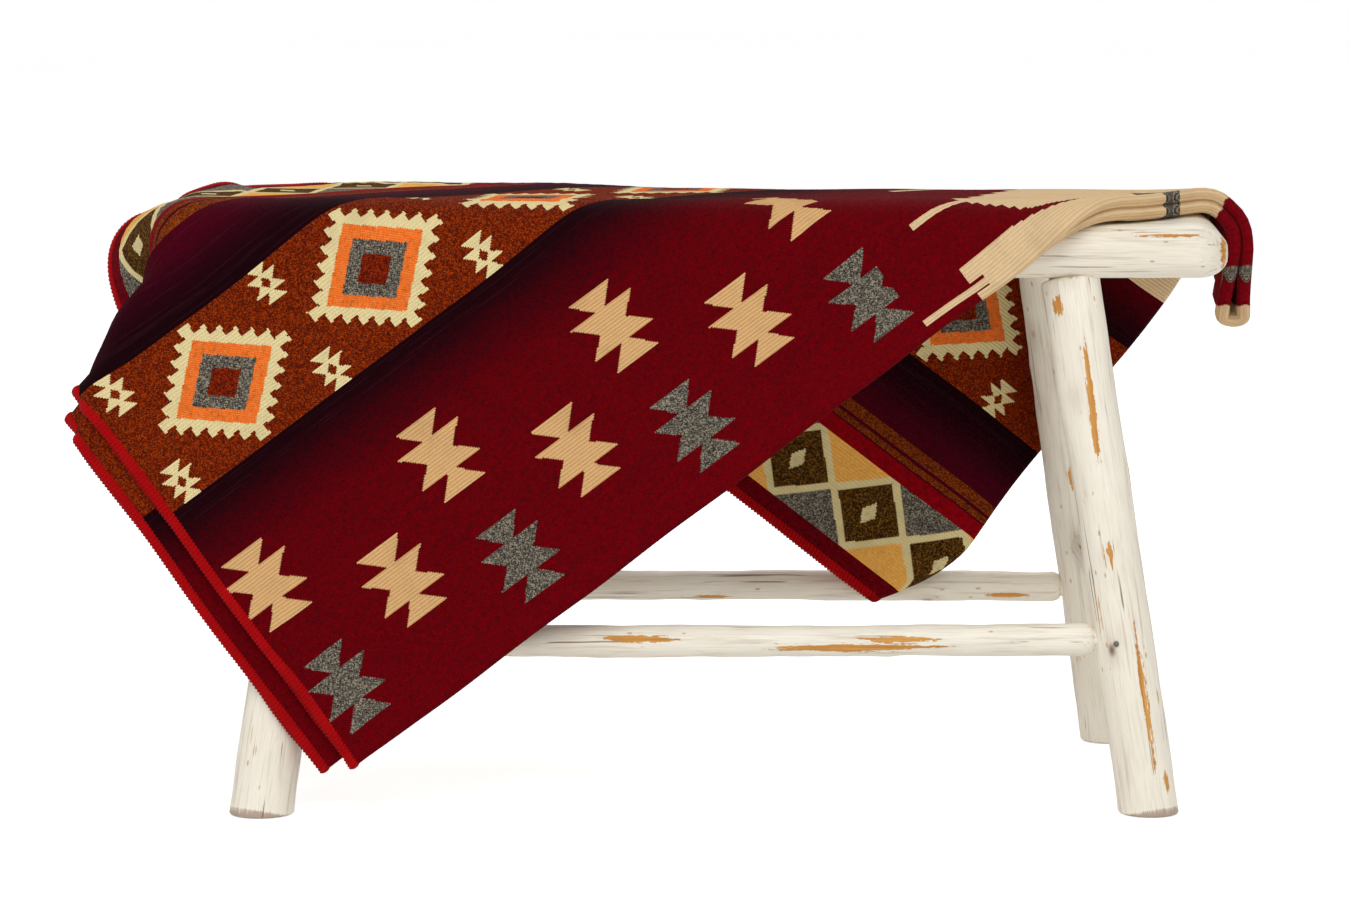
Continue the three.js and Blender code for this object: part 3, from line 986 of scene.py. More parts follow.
        # the first and last rings close to a hub each
        rows, count = len(points) - 2, self.sides
        verts = np.concatenate([points[1:-1].reshape(-1, 3), points[:1].mean(1), points[-1:].mean(1)])
        low_ring = np.arange(count)
        faces = np.concatenate([
            grid_faces(rows, count, wrap=True), fan_faces(rows * count, low_ring),
            fan_faces(rows * count + 1, low_ring + (rows - 1) * count, flip=True)])
        fields = self.attributes(verts, (front, side), axis, length)
        return make_piece(self.name, verts * MM + middle, facing_out(verts, faces), fields)


@dataclass
class SeatSlab:
    """The half-round seat: a slab whose outline has rounded corners and whose edge is a full round nose.

    A point on the nose is the inner outline pushed out by nose * cos(e) and up by nose * sin(e), for e from 90 to
    -90 degrees. The flat faces close towards the slab's long middle line. A worn patch is (x, y, z, half size along,
    half size across).
    """

    name: str
    sizes: BenchSizes
    patches: tuple[tuple[float, float, float, float, float], ...] = ()

    def surface(self, count: int) -> Array:
        """The slab's rings of points, from the top's middle line over the nose to the underside's.

        Args:
            count: points in a ring.

        Returns:
            The points, (rings, count, 3), in mm.
        """
        s = self.sizes
        hx, hy = s.seat_length / 2 - s.corner, s.seat_depth / 2 - s.corner
        line, out = rounded_outline((-hx, -hy), (hx, hy), s.corner, s.corner - s.nose, count)
        spine = np.zeros_like(line)
        spine[:, 0] = np.clip(line[:, 0], (s.seat_depth - s.seat_length) / 2, (s.seat_length - s.seat_depth) / 2)
        half = s.seat_thickness / 2 - s.nose
        inward = np.array([1.0, 0.86, 0.68, 0.48, 0.28, 0.12, 0.03])
        e = np.linspace(np.pi / 2, -np.pi / 2, 15)
        flat = line + (spine - line) * inward[:, None, None]
        edge = np.concatenate([0 * inward, np.cos(e), 0 * inward])
        plan = np.concatenate([flat, line + out * s.nose * np.cos(e)[:, None, None], flat[::-1]])
        nose = half * np.sign(e) * np.minimum(1.0, np.abs(e) / 0.2) + s.nose * np.sin(e)
        level = np.full(len(inward), half + s.nose)
        z = np.concatenate([level, nose, -level])[:, None] * np.ones(count)
        bumps = log_ripple(plan[..., 0], z * 0.05 + plan[..., 1] * 0.03, 2.6)
        plan = plan + out * ((bumps - 0.7) * edge[:, None] * 0.8)[..., None]
        z = z + s.underside + s.seat_thickness / 2 - np.clip(bumps + 0.4, 0, 1) * 0.15 * (z > 0)
        share = np.clip((z - s.underside) / s.seat_thickness, 0, 1)
        x, y = plan[..., 0], plan[..., 1]
        end = s.end_slope * smooth_step((x - s.seat_length / 2 + s.end_slope_run) / s.end_slope_run)
        return np.stack([x - s.trim(x), y, z - (s.fall(x, y) + end) * share], -1)

    def build(self, middle: Array) -> Object:
        """Makes the slab with slight hewn unevenness and its wood attributes.

        Args:
            middle: the bench's middle in the frame, in metres.

        Returns:
            The finished object.
        """
        points = self.surface(560)
        rows, count, _ = points.shape
        piece = make_piece(self.name, points.reshape(-1, 3) * MM + middle, grid_faces(rows, count, wrap=True))
        mesh = piece.data
        solid = bmesh.new()
        solid.from_mesh(mesh)
        bmesh.ops.remove_doubles(solid, verts=solid.verts, dist=0.00002)
        bmesh.ops.dissolve_degenerate(solid, edges=solid.edges, dist=0.00001)
        bmesh.ops.recalc_face_normals(solid, faces=solid.faces)
        solid.to_mesh(mesh)
        solid.free()
        co = np.empty(len(mesh.vertices) * 3, np.float32)
        mesh.vertices.foreach_get("co", co)
        co = co.reshape(-1, 3) - middle
        wear = np.zeros(len(co))
        for x, y, z, along, around in self.patches:
            wear = worn(np.linalg.norm((co / MM - [x, y, z]) / [along, around, around], axis=1), wear)
        cut = np.clip((np.abs(co[:, 0]) / MM - (self.sizes.seat_length / 2 - 14)) / 14.0, 0, 1) * 0.6
        place = co[:, [1, 2, 0]] + np.array([2.1, 0.7 - 0.475, 4.4])
        write_fields(mesh, {"log_place": place, "log_wear": wear, "log_cut": cut})
        mesh.polygons.foreach_set("use_smooth", np.ones(len(mesh.polygons), bool))
        return piece


# Worn patches as (along, around, half along, half around); on the seat (x, y, z, half along, half around). How much
# thicker than the others each leg is, in mm of radius, comes with them.
LEG_PATCHES = {
    ("front", "left"): ((330, -0.9, 36, 4), (60, 2.2, 26, 4)),
    ("front", "right"): ((356, 0.38, 44, 2.6), (322, 0.30, 22, 1.8), (98, 0.72, 46, 2.4), (222, 0.25, 10, 1.8),
                         (24, 1.1, 9, 3.0), (436, -0.3, 8, 5.0)),
    ("back", "left"): ((210, 2.6, 34, 4), (400, 1.7, 18, 5)),
    ("back", "right"): ((260, 0.2, 12, 4), (120, 2.4, 30, 4)),
}
LEG_THICKER = {("front", "left"): 1.6, ("front", "right"): -0.4, ("back", "left"): -1.0, ("back", "right"): -1.0}
LONG_PATCHES = {
    "front": ((452, 0.15, 62, 3.3), (272, -0.4, 26, 3.2), (494, -0.35, 26, 2.6), (560, 2.4, 50, 4)),
    "back": ((330, 0.5, 14, 2.6), (597, 0.35, 20, 2.6), (200, 2.9, 50, 4.5)),
}
SIDE_PATCHES = ((90, 0.4, 26, 3.5), (150, 2.8, 26, 3.5))
SEAT_PATCHES = (
    (395, -120, 489, 26, 1.5), (352, -118, 492, 14, 1.2), (436, -119, 490, 14, 2.2), (310, -118, 493, 20, 1.2),
    (350, -124, 470, 24, 1.0), (441, -106, 474, 2.4, 19),
)


@dataclass
class LogBench:
    """Seat, four splayed legs, two long and two side stretchers, and the four brads that pin them."""

    sizes: BenchSizes = field(default_factory=BenchSizes)
    long_radius: float = 14.5
    long_height: float = 145.0
    side_radius: float = 15.0
    side_height: float = 186.0

    def legs(self) -> list[RoundLog]:
        """The four legs, foot level with the floor, tenon into the seat."""
        s = self.sizes
        made = []
        for i, (side_y, row) in enumerate(ROWS):
            for j, (side_x, hand) in enumerate(HANDS):
                foot, head = s.leg_axis(side_x, side_y)
                lean = float(np.linalg.norm(head - foot)) / s.underside
                node = f"{row}_{hand}_leg"
                patches = tuple(WornPatch(*patch) for patch in LEG_PATCHES[row, hand])
                tenon = (s.tenon_radius - 0.3, s.tenon_length * lean - 1.5, 5.0)
                made.append(RoundLog(
                    f"limed_{node}", node, foot, head, s.leg_radius + LEG_THICKER[row, hand], (0, 0, 0), tenon,
                    1.3 + 1.1 * i + 0.7 * j, 2.0, patches, True))
        return made

    def stretcher(
        self, node: str, legs: Sequence[tuple[int, int]], height: float, radius: float, seed: float, bow: float,
        patches: Sequence[tuple[float, float, float, float]],
    ) -> RoundLog:
        """A stretcher at a height between two legs, from face to face, with its tenons inside them."""
        s = self.sizes
        ends = []
        for leg in legs:
            foot, head = s.leg_axis(*leg)
            ends.append(foot + (head - foot) * (height / s.underside))
        inside = s.leg_radius - 1.0
        along = unit(ends[1] - ends[0]) * inside
        tenon = (s.stretcher_tenon, inside + s.past_centre, s.shoulder)
        return RoundLog(
            f"limed_{node}", node, ends[0] + along, ends[1] - along, radius - 0.3, tenon, tenon, seed, bow,
            tuple(WornPatch(*patch) for patch in patches))

    def stretchers(self) -> list[RoundLog]:
        """The two long stretchers and the two side ones."""
        made = []
        for k, (y, row) in enumerate(ROWS):
            node, legs = f"{row}_long_stretcher", ((-1, y), (1, y))
            made.append(self.stretcher(
                node, legs, self.long_height, self.long_radius, 4.2 + k, 1.6, LONG_PATCHES[row]))
        for k, (x, hand) in enumerate(HANDS):
            node, legs = f"{hand}_side_stretcher", ((x, -1), (x, 1))
            made.append(self.stretcher(
                node, legs, self.side_height, self.side_radius, 6.4 + k, 1.0, SIDE_PATCHES))
        return made

    def build(self, wood: Material, steel: Material) -> None:
        """Makes and dresses every bench piece."""
        middle = self.sizes.middle()
        seat = SeatSlab("limed_seat", self.sizes, SEAT_PATCHES)
        finish_piece(seat.build(middle), wood, "whitewashed_wood", "seat_log")
        for log in self.legs() + self.stretchers():
            finish_piece(log.build(middle), wood, "whitewashed_wood", log.slot)
        for name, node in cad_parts.items():
            if name.endswith("brad"):
                for place in range(max(len(node.data.materials), 1)):
                    if node.material_slots:
                        node.material_slots[place].material = steel
                    else:
                        node.data.materials.append(steel)
                LOG.info("%s: packed node with its own steel", name)


# ---------------------------------------------------------------- drape


@dataclass
class StackDrape:
    """The middle surface of the folded stack, relaxed over the bench; all lengths in millimetres.

    The start is a developable wrap: flat on the seat, rolled over the rounded edges, hanging at a slight slope beyond
    them, and turned round a cone at the seat's front left corner. Position-based springs along the yarns, both
    diagonals and two and four cells apart then settle it under gravity against the seat, the legs and the back
    stretcher. The cloth is held still well inside the seat's edges. Weak guides pull each hanging panel towards its
    start, the turned corner folds in a softer crease, and what lies behind the crease keeps outside the seat's front
    face.
    """

    sizes: BenchSizes
    width: float = 585.0
    length: float = 1052.0
    turn: float = math.radians(36.8)
    start: tuple[float, float] = (-297.0, -588.0)
    clearance: float = 8.5
    cell: float = 11.0
    margin_s: float = 44.0
    margin_t: float = 33.0
    fold_turn: float = math.radians(25.5)
    lean: float = math.radians(7.0)
    back_lean: float = math.radians(-2.6)
    flap_out: float = 8.0
    rail_height: float = 145.0
    rail_radius: float = 14.5
    steps: int = 900
    dt: float = 0.002
    gravity: float = 11000.0
    drag: float = 0.98
    floor_gap: float = 12.0
    apex_in: float = 10.0
    held_in: tuple[float, float] = (75.0, 38.0)
    free_end: float = 60.0
    panel_guide: float = 0.02
    fold_guide: float = 0.12
    flap_guide: float = 0.08
    crease_width: float = 30.0
    crease_room: float = 18.0
    crease_give: float = 40.0
    face_top: float = 60.0
    face_slope: float = 0.06
    bend: tuple[tuple[int, float], ...] = ((2, 1e-5), (4, 5e-5))

    def __post_init__(self) -> None:
        """Lays out the grid of cloth places and their flat plan."""
        self.sv = np.arange(-self.margin_s, self.length + self.cell * 2.9, self.cell)
        self.tv = np.arange(-self.margin_t, self.width + self.cell * 2.9, self.cell)
        self.s, self.t = np.meshgrid(self.sv, self.tv, indexing="ij")
        along = np.array([np.cos(self.turn), np.sin(self.turn)])
        across = np.array([-along[1], along[0]])
        self.plan = np.array(self.start) + self.s[..., None] * along + self.t[..., None] * across
        self.hx, self.hy = self.sizes.seat_length / 2, self.sizes.seat_depth / 2
        self.radius = self.sizes.nose + self.clearance
        self.top = self.sizes.seat_height + self.clearance

    def over_edge(self, x: Array, half: float) -> tuple[Array, Array]:
        """A length along the cloth carried over one rounded edge.

        Args:
            x: lengths along the cloth from the middle.
            half: half the flat width that the edge bounds.

        Returns:
            The sideways place and the drop below the seat's top surface.
        """
        past = np.abs(x) - half
        quarter = self.radius * np.pi / 2
        bent = np.clip(past, 0, quarter) / self.radius
        place = np.where(past <= 0, x, np.sign(x) * (half + self.radius * np.sin(bent)))
        drop = np.where(past <= 0, 0.0, self.radius * (1 - np.cos(bent)) + np.maximum(past - quarter, 0))
        return place, drop

    def hang(self, x: Array, y: Array, half: float) -> Array:
        """A point of the cloth where only the long edges turn it.

        In front it leans out by the legs' slope. Behind it leans in a little, to pass inside the back stretcher, and
        swings out to the legs' slope where it lies against the back right leg.

        Args:
            x: places along the bench.
            y: lengths of cloth across it.
            half: half the flat width between the edges.

        Returns:
            The points, (..., 3).
        """
        place, drop = self.over_edge(y, half)
        free = np.maximum(drop - self.radius, 0)
        behind = self.back_lean + (self.lean - self.back_lean) * smooth_step((x - 205) / 95)
        lean = np.where(y > 0, behind, self.lean)
        height = self.top - np.minimum(drop, self.radius) - free * np.cos(lean)
        return np.stack([x, place + np.sign(y) * free * np.sin(lean), height], -1)

    def wrapped(self) -> Array:
        """The start shape, as the class's docstring gives it."""
        x, y = self.plan[..., 0], self.plan[..., 1]
        hx, hy = self.hx - self.sizes.nose - self.sizes.end_trim, self.hy - self.sizes.nose
        shape = self.hang(x, y, hy)
        end_x, end_drop = self.over_edge(x, hx)
        beyond = x > hx
        shape[beyond] = np.stack([end_x, shape[..., 1], shape[..., 2] - end_drop], -1)[beyond]
        apex = np.array([-(self.hx - self.apex_in), -(self.hy - self.apex_in)])
        rx, ry = apex[0] - x, apex[1] - y
        reach, angle = np.hypot(rx, ry), np.arctan2(rx, ry)
        phi = self.fold_turn
        fold = np.array([-np.sin(phi), -np.cos(phi) * np.sin(self.lean), -np.cos(phi) * np.cos(self.lean)])
        back = np.array([0.0, 1.0, 0.0])
        out = -unit(np.cross(fold, back))
        k = np.linspace(0, 1, 400)[:, None]
        span = np.arccos(fold @ back)
        arc = (np.sin((1 - k) * span) * fold + np.sin(k * span) * back) / np.sin(span)

        def bulged(size: float) -> Array:
            """The great arc from fold to back, bulged out to a half opening of the given size."""
            return unit(arc + np.tan(size) * np.sin(np.pi * k) ** 0.8 * out)

        def run(line: Array) -> Array:
            """Angle travelled along a line of directions."""
            return np.concatenate([[0.0], np.cumsum(np.arccos(np.clip((line[1:] * line[:-1]).sum(1), -1, 1)))])

        low, high = 0.0, 1.45
        for _ in range(40):
            size = (low + high) / 2
            low, high = (size, high) if run(bulged(size))[-1] < np.pi - phi else (low, size)
        line = bulged(low)
        at = np.clip(np.abs(angle) - phi, 0, np.pi - phi)
        way = np.stack([np.interp(at, run(line), line[:, c]) for c in range(3)], -1)
        tip = np.array([apex[0], apex[1], self.top])
        on_fold = self.hang(apex[0] - reach * np.sin(phi), apex[1] - reach * np.cos(phi), hy)
        mend = (on_fold - (tip + reach[..., None] * fold)) * np.clip(1 - at / np.radians(150), 0, 1)[..., None]
        cone = tip + reach[..., None] * way + mend
        turned = (rx > 0) & (angle >= phi)
        shape[turned] = cone[turned]
        shape[..., 2] -= self.sizes.fall(shape[..., 0], shape[..., 1])
        self.angle, self.reach, self.left = angle, reach, rx > 0
        return shape

    def springs(self) -> list[tuple[Array, Array, float, Array | float]]:
        """Pairs of grid points, in batches that share no point, with rest length and softness."""
        ns, nt = self.s.shape
        fold_gap = (self.reach * np.sin(self.angle - self.fold_turn)).ravel()
        corner = self.left.ravel() & (self.angle.ravel() < np.pi / 2)
        crease = np.where(corner & (np.abs(fold_gap) < self.crease_width), self.crease_give, 1.0)
        out = []

        def add(di: int, dj: int, soft: float) -> None:
            """Adds the springs of one step across the grid, in two batches."""
            rest = self.cell * math.hypot(di, dj)
            for odd in (0, 1):
                i, j = np.arange(ns - di), np.arange(max(-dj, 0), nt - max(dj, 0))
                if di:
                    i = i[(i // di) % 2 == odd]
                else:
                    j = j[(j // dj) % 2 == odd]
                ii, jj = np.meshgrid(i, j, indexing="ij")
                a, b = (ii * nt + jj).ravel(), ((ii + di) * nt + jj + dj).ravel()
                give = soft * np.maximum(crease[a], crease[b]) / self.dt**2 if soft else 0.0
                out.append((a, b, rest, give))

        for k, soft in ((1, 0.0), *self.bend):
            for di, dj in ((k, 0), (0, k), (k, k), (k, -k)):
                add(di, dj, soft)
        return out + out[:8]

    def seat_gap(self, p: Array) -> tuple[Array, Array]:
        """Distance from the seat's rounded box and the direction away from it.

        Args:
            p: points, (n, 3).

        Returns:
            The distance and the unit direction at each point.
        """
        s = self.sizes
        share = np.clip((p[:, 2] - s.underside) / s.seat_thickness, 0, 1)
        p = p + np.stack([s.trim(p[:, 0]), 0 * share, s.fall(p[:, 0], p[:, 1]) * share], -1)
        centre = np.array([0.0, 0.0, s.seat_height - s.seat_thickness / 2])
        half = np.array([self.hx, self.hy, s.seat_thickness / 2]) - s.nose
        q = np.abs(p - centre) - half
        m = np.maximum(q, 0)
        size = np.linalg.norm(m, axis=-1)
        way = m / np.maximum(size, 1e-9)[:, None] * np.sign(p - centre)
        way[size <= 1e-9] = (0.0, 0.0, 1.0)
        return size + np.minimum(q.max(-1), 0) - s.nose, way

    def relax(self) -> "StackDrape":
        """Settles the start shape and keeps the result with its smoothed normals.

        Each step adds gravity, draws every spring to its length, pushes the cloth off the bench and the floor, and
        takes the new speed from the distance gone. A point that was pushed loses half its speed.
        """
        s = self.sizes
        first = self.wrapped()
        springs = self.springs()
        p, v = first.reshape(-1, 3).copy(), np.zeros((first.size // 3, 3))
        began = p.copy()
        began[(self.plan[..., 0].ravel() > self.hx) & (self.plan[..., 1].ravel() < self.hy), 0] += self.flap_out
        x, y = self.plan[..., 0].ravel(), self.plan[..., 1].ravel()
        angle, reach, left = self.angle.ravel(), self.reach.ravel(), self.left.ravel()
        past = reach * np.sin(angle - self.fold_turn)
        behind = left & (past > 0) & (angle < np.radians(120))
        room = self.crease_room * np.clip(past, 0, self.crease_width) / self.crease_width
        held = (np.abs(x) < self.hx - self.held_in[0]) & (np.abs(y) < self.hy - self.held_in[1])
        guide = np.zeros(len(p))
        guide[(y < -self.hy) & (x > -(self.hx - self.apex_in))] = self.panel_guide
        guide[(y > self.hy) & (np.abs(x) < self.hx - self.free_end)] = self.panel_guide
        guide[left & (angle < self.fold_turn) & (reach > self.crease_width)] = self.fold_guide
        guide[(x > self.hx) & (y < self.hy)] = self.flap_guide
        poles = [s.leg_axis(i, j) for i in (-1, 1) for j in (-1, 1)]
        near = s.leg_radius + self.clearance
        rail_foot, rail_head = s.leg_axis(1, 1)
        rail_y = rail_foot[1] + (rail_head[1] - rail_foot[1]) * self.rail_height / s.underside
        rail_gap = self.rail_radius + self.clearance
        for _ in range(self.steps):
            last = p.copy()
            v[:, 2] -= self.gravity * self.dt
            v *= self.drag
            p = p + v * self.dt
            for a, b, rest, give in springs:
                d = p[a] - p[b]
                size = np.sqrt((d * d).sum(1))
                d *= ((size - rest) / (size * (2 + give) + 1e-9))[:, None]
                p[a] -= d
                p[b] += d
            gap, way = self.seat_gap(p)
            push = np.maximum(self.clearance - gap, 0)
            p += way * push[:, None]
            hit = push > 0
            p[held] = began[held]
            for foot, head in poles:
                axis = unit(head - foot)
                r = p - foot
                along = r @ axis
                off = r - along[:, None] * axis
                size = np.linalg.norm(off, axis=1)
                push = np.where((size < near) & (along < s.underside), near - size, 0)
                p += off / np.maximum(size, 1e-6)[:, None] * push[:, None]
                hit |= push > 0
            p[:, 2] = np.maximum(p[:, 2], self.floor_gap)
            deep = np.maximum(s.seat_height - self.face_top - p[:, 2], 0)
            face = -(self.hy + self.clearance) - deep * self.face_slope
            low = behind & (p[:, 1] < face + room)
            p[low, 1] += (face + room - p[:, 1])[low] * 0.5
            p += (began - p) * guide[:, None]
            rise = p[:, 2] - self.rail_height
            inside = rail_y - np.sqrt(np.maximum(rail_gap**2 - rise**2, 0))
            caught = (y > self.hy) & (np.abs(rise) < rail_gap) & (p[:, 1] > inside)
            p[caught, 1] = inside[caught]
            v = (p - last) / self.dt
            v[hit] *= 0.5
        self.points = p.reshape(first.shape)
        normal = unit(np.cross(np.gradient(self.points, axis=0), np.gradient(self.points, axis=1)))
        for _ in range(2):
            n = np.pad(normal, ((1, 1), (1, 1), (0, 0)), mode="edge")
            normal = unit(n[1:-1, 1:-1] * 2 + n[2:, 1:-1] + n[:-2, 1:-1] + n[1:-1, 2:] + n[1:-1, :-2])
        self.normals = normal
        speed = float(np.abs(v).mean())
        LOG.info("drape: settled %d points in %d steps, last speed %.2f mm/s", len(p), self.steps, speed)
        return self

    def sample(self, values: Array, s: Array, t: Array) -> Array:
        """Catmull-Rom reading of a grid of values at cloth places s and t.

        Args:
            values: one vector for each point of the grid.
            s: places along the stack.
            t: places across it.

        Returns:
            The vectors at those places.
        """
        i, j = (s - self.sv[0]) / self.cell, (t - self.tv[0]) / self.cell
        ns, nt = self.s.shape
        i0, j0 = np.clip(np.floor(i).astype(int), 1, ns - 3), np.clip(np.floor(j).astype(int), 1, nt - 3)

        def weights(f: Array) -> list[Array]:
            """Shares of the four grid lines about a place that lies f past the second."""
            return [0.5 * (-f + 2 * f**2 - f**3), 0.5 * (2 - 5 * f**2 + 3 * f**3),
                    0.5 * (f + 4 * f**2 - 3 * f**3), 0.5 * (-(f**2) + f**3)]

        wi, wj = weights(np.clip(i - i0, -0.5, 1.5)), weights(np.clip(j - j0, -0.5, 1.5))
        total = 0.0
        for a in range(4):
            for b in range(4):
                total = total + values[i0 + a - 1, j0 + b - 1] * (wi[a] * wj[b])[..., None]
        return total


# ---------------------------------------------------------------- blanket


@dataclass
class FoldedBlanket:
    """The open sheet, folded lengthwise and then across, laid on the relaxed stack; lengths in millimetres.

    Place u runs along the open sheet from one short hem to the other, and v across it from the lengthwise fold. From
    the outside in, the four thicknesses are the outer and inner leaf of the upper half, then the inner and outer leaf
    of the lower half.
    """

    drape: StackDrape
    thickness: float = 2.7
    pair_gap: float = 3.9
    leaf_gap: float = 1.9
    roll: float = 4.3
    roll_tail: float = 20.0
    reach_past: float = 24.0
    side_slip: float = 12.0
    edge_stretch: float = 0.022
    blunt_depth: float = 42.0
    blunt_width: float = 95.0
    corner: float = 14.0
    cell: float = 8.8
    hem_width: float = 4.7
    hem_height: float = 2.5
    hem_inset: float = 2.6
    stitch: float = 3.3

    @property
    def half_width(self) -> float:
        """Half the open sheet's width."""
        return self.drape.width

    @property
    def half_length(self) -> float:
        """Half the open sheet's length."""
        return self.drape.length

    def rounded(self, u: Array, v: Array) -> tuple[Array, Array]:
        """Pulls the sheet's four corners in to quarter circles: x becomes x * sqrt(1 - y^2 / 2), and y alike.

        Args:
            u: places along the open sheet.
            v: places across it.

        Returns:
            The same places, moved in at the corners.
        """
        r = self.corner
        a, b = np.minimum(u, 2 * self.half_length - u), self.half_width - np.abs(v)
        x, y = np.clip(1 - a / r, 0, 1), np.clip(1 - b / r, 0, 1)
        da = r * (x - x * np.sqrt(1 - y * y / 2))
        db = r * (y - y * np.sqrt(1 - x * x / 2))
        return np.where(u < self.half_length, u + da, u - da), v - np.sign(v) * db

    def laid(self, u: Array, v: Array) -> Array:
        """Where a place of the open sheet lies, in mm about the bench's middle.

        The lengthwise fold is a half ring of radius roll that narrows to the leaf gap like a drop. The fold across is
        a half ring about the stack's middle, which carries the outer leaf round outside the inner one. Its line bends
        back near the far hem, where the corner is folded under. Slow sines of a millimetre or less keep the hems and
        leaves from running dead straight, and the leaves part a little more near the folds and the tip.

        Args:
            u: places along the open sheet.
            v: places across it from the lengthwise fold.

        Returns:
            The points, (..., 3).
        """
        size = np.abs(v)
        quarter = self.roll * np.pi / 2
        chi = np.pi / 2 * (1 - np.clip(size / quarter, 0, 1))
        t = np.where(size < quarter, self.roll * (1 - np.sin(chi)), size - quarter + self.roll)
        tail = np.exp(-np.maximum(size - quarter, 0) / self.roll_tail)
        open_leaf = self.leaf_gap + (self.roll - self.leaf_gap) * tail
        leaf = np.where(size < quarter, self.roll * np.cos(chi), open_leaf) * np.sign(v)
        gap = self.pair_gap + 1.6 * np.exp(-t / 25.0)
        blunt = self.blunt_depth * np.clip((t - (self.half_width - self.blunt_width)) / self.blunt_width, 0, 1) ** 1.6
        fold = self.half_length - self.reach_past / 2
        x = u - fold
        arc = np.pi * gap / 2 + blunt
        theta = np.pi * np.clip((x + arc) / (2 * arc), 0, 1)
        bent = (fold - arc) + (gap + leaf) * np.sin(theta)
        s = np.where(x < -arc, u, np.where(x > arc, fold - x, bent))
        h = (gap + leaf) * np.cos(theta)
        slip = smooth_step((x + 10) / 220.0)
        t = t + slip * (self.side_slip - 1.35 * self.side_slip * s / self.half_length)
        t = t + 0.9 * np.sin(s / 47.0 + 2.0 * slip) * smooth_step((size - 420) / 190)
        t = t + 0.5 * np.sin(s / 23.0 + slip) * np.exp(-size / 40)
        s = s + 1.1 * np.sin(v / 39.0 + 2.4 * slip) * smooth_step(1 - s / 90)
        upper = 1 - slip
        lift = 4.2 * np.exp(-np.maximum(t, 0) / 24.0)
        flutter = 0.55 * np.sin(s / 61.0 + t / 83.0) + 0.35 * np.sin(s / 29.0 - t / 37.0 + 1.3)
        spread = upper * 2.4 * np.exp(-np.maximum(s, 0) / 45.0) * (0.5 + 0.5 * np.sin(t / 70.0 + 0.7))
        h = h + lift + flutter * (0.35 + 0.65 * upper) + spread + 0.5
        near_tip = np.exp(-((self.half_length - s) ** 2 + t**2) / 62.0**2)
        h = h + near_tip * 4.5 * np.cos(theta)
        s = s * (1 + self.edge_stretch * np.clip(1 - t / self.half_width, 0, 1) ** 1.5)
        base = self.drape.sample(self.drape.points, s, t)
        up = unit(self.drape.sample(self.drape.normals, s, t))
        return base + up * h[..., None]

    def facing(self, u: Array, v: Array, step: float = 0.7) -> tuple[Array, Array, Array]:
        """Directions along u, along v and out of the right side, from places a little to each side.

        Args:
            u: places along the open sheet.
            v: places across it.
            step: how far to each side.

        Returns:
            Three unit vectors at each place.
        """
        (u0, u1), (v0, v1) = (
            (np.clip(at - step, low, high), np.clip(at + step, low, high))
            for at, low, high in ((u, 0, 2 * self.half_length), (v, -self.half_width, self.half_width)))
        du, dv = unit(self.laid(u1, v) - self.laid(u0, v)), unit(self.laid(u, v1) - self.laid(u, v0))
        return du, dv, unit(np.cross(du, dv))

    def lines(self) -> tuple[Array, Array]:
        """Grid lines of the sheet: even, and closer over the two folds."""
        fold = self.half_length - self.reach_past / 2
        wide, long = self.half_width, 2 * self.half_length
        clear, fine = 20.0, 1.7
        u = np.arange(0, long + 0.1, long / round(long / self.cell))
        u = np.unique(np.concatenate([u[np.abs(u - fold) > clear], fold + np.arange(-16.0, 16.1, fine)]).round(3))
        v = np.arange(-wide, wide + 0.1, 2 * wide / round(2 * wide / self.cell))
        v = np.unique(np.concatenate([v[np.abs(v) > clear], np.arange(-17, 17.1, fine)]).round(3))
        return u, v

    def sheet(self, middle: Array) -> Object:
        """One closed sheet: two faces half a thickness either side of the laid surface, and a rim between them.

        Args:
            middle: the bench's middle in the frame, in metres.

        Returns:
            The finished object.
        """
        us, vs = self.lines()
        u, v = np.meshgrid(us, vs, indexing="ij")
        u, v = self.rounded(u, v)
        at = self.laid(u, v)
        normal = unit(np.cross(np.gradient(at, us, axis=0), np.gradient(at, vs, axis=1)))
        ns, nt = u.shape
        half = self.thickness / 2
        verts = np.concatenate([(at + normal * half).reshape(-1, 3), (at - normal * half).reshape(-1, 3)])
        n = ns * nt
        index = np.arange(n).reshape(ns, nt)
        ring = np.concatenate([index[:, 0], index[-1, 1:], index[-2::-1, -1], index[0, -2:0:-1]])
        after = np.roll(ring, -1)
        rim = np.stack([ring, ring + n, after + n, after], 1)
        faces = np.concatenate([grid_faces(ns, nt), grid_faces(ns, nt, flip=True) + n, rim])
        place = np.stack([u.ravel() * MM, v.ravel() * MM, np.zeros(n)], -1)
        fields = {"cloth_place": np.concatenate([place, place])}
        return make_piece("woven_blanket", verts * MM + middle, faces, fields)

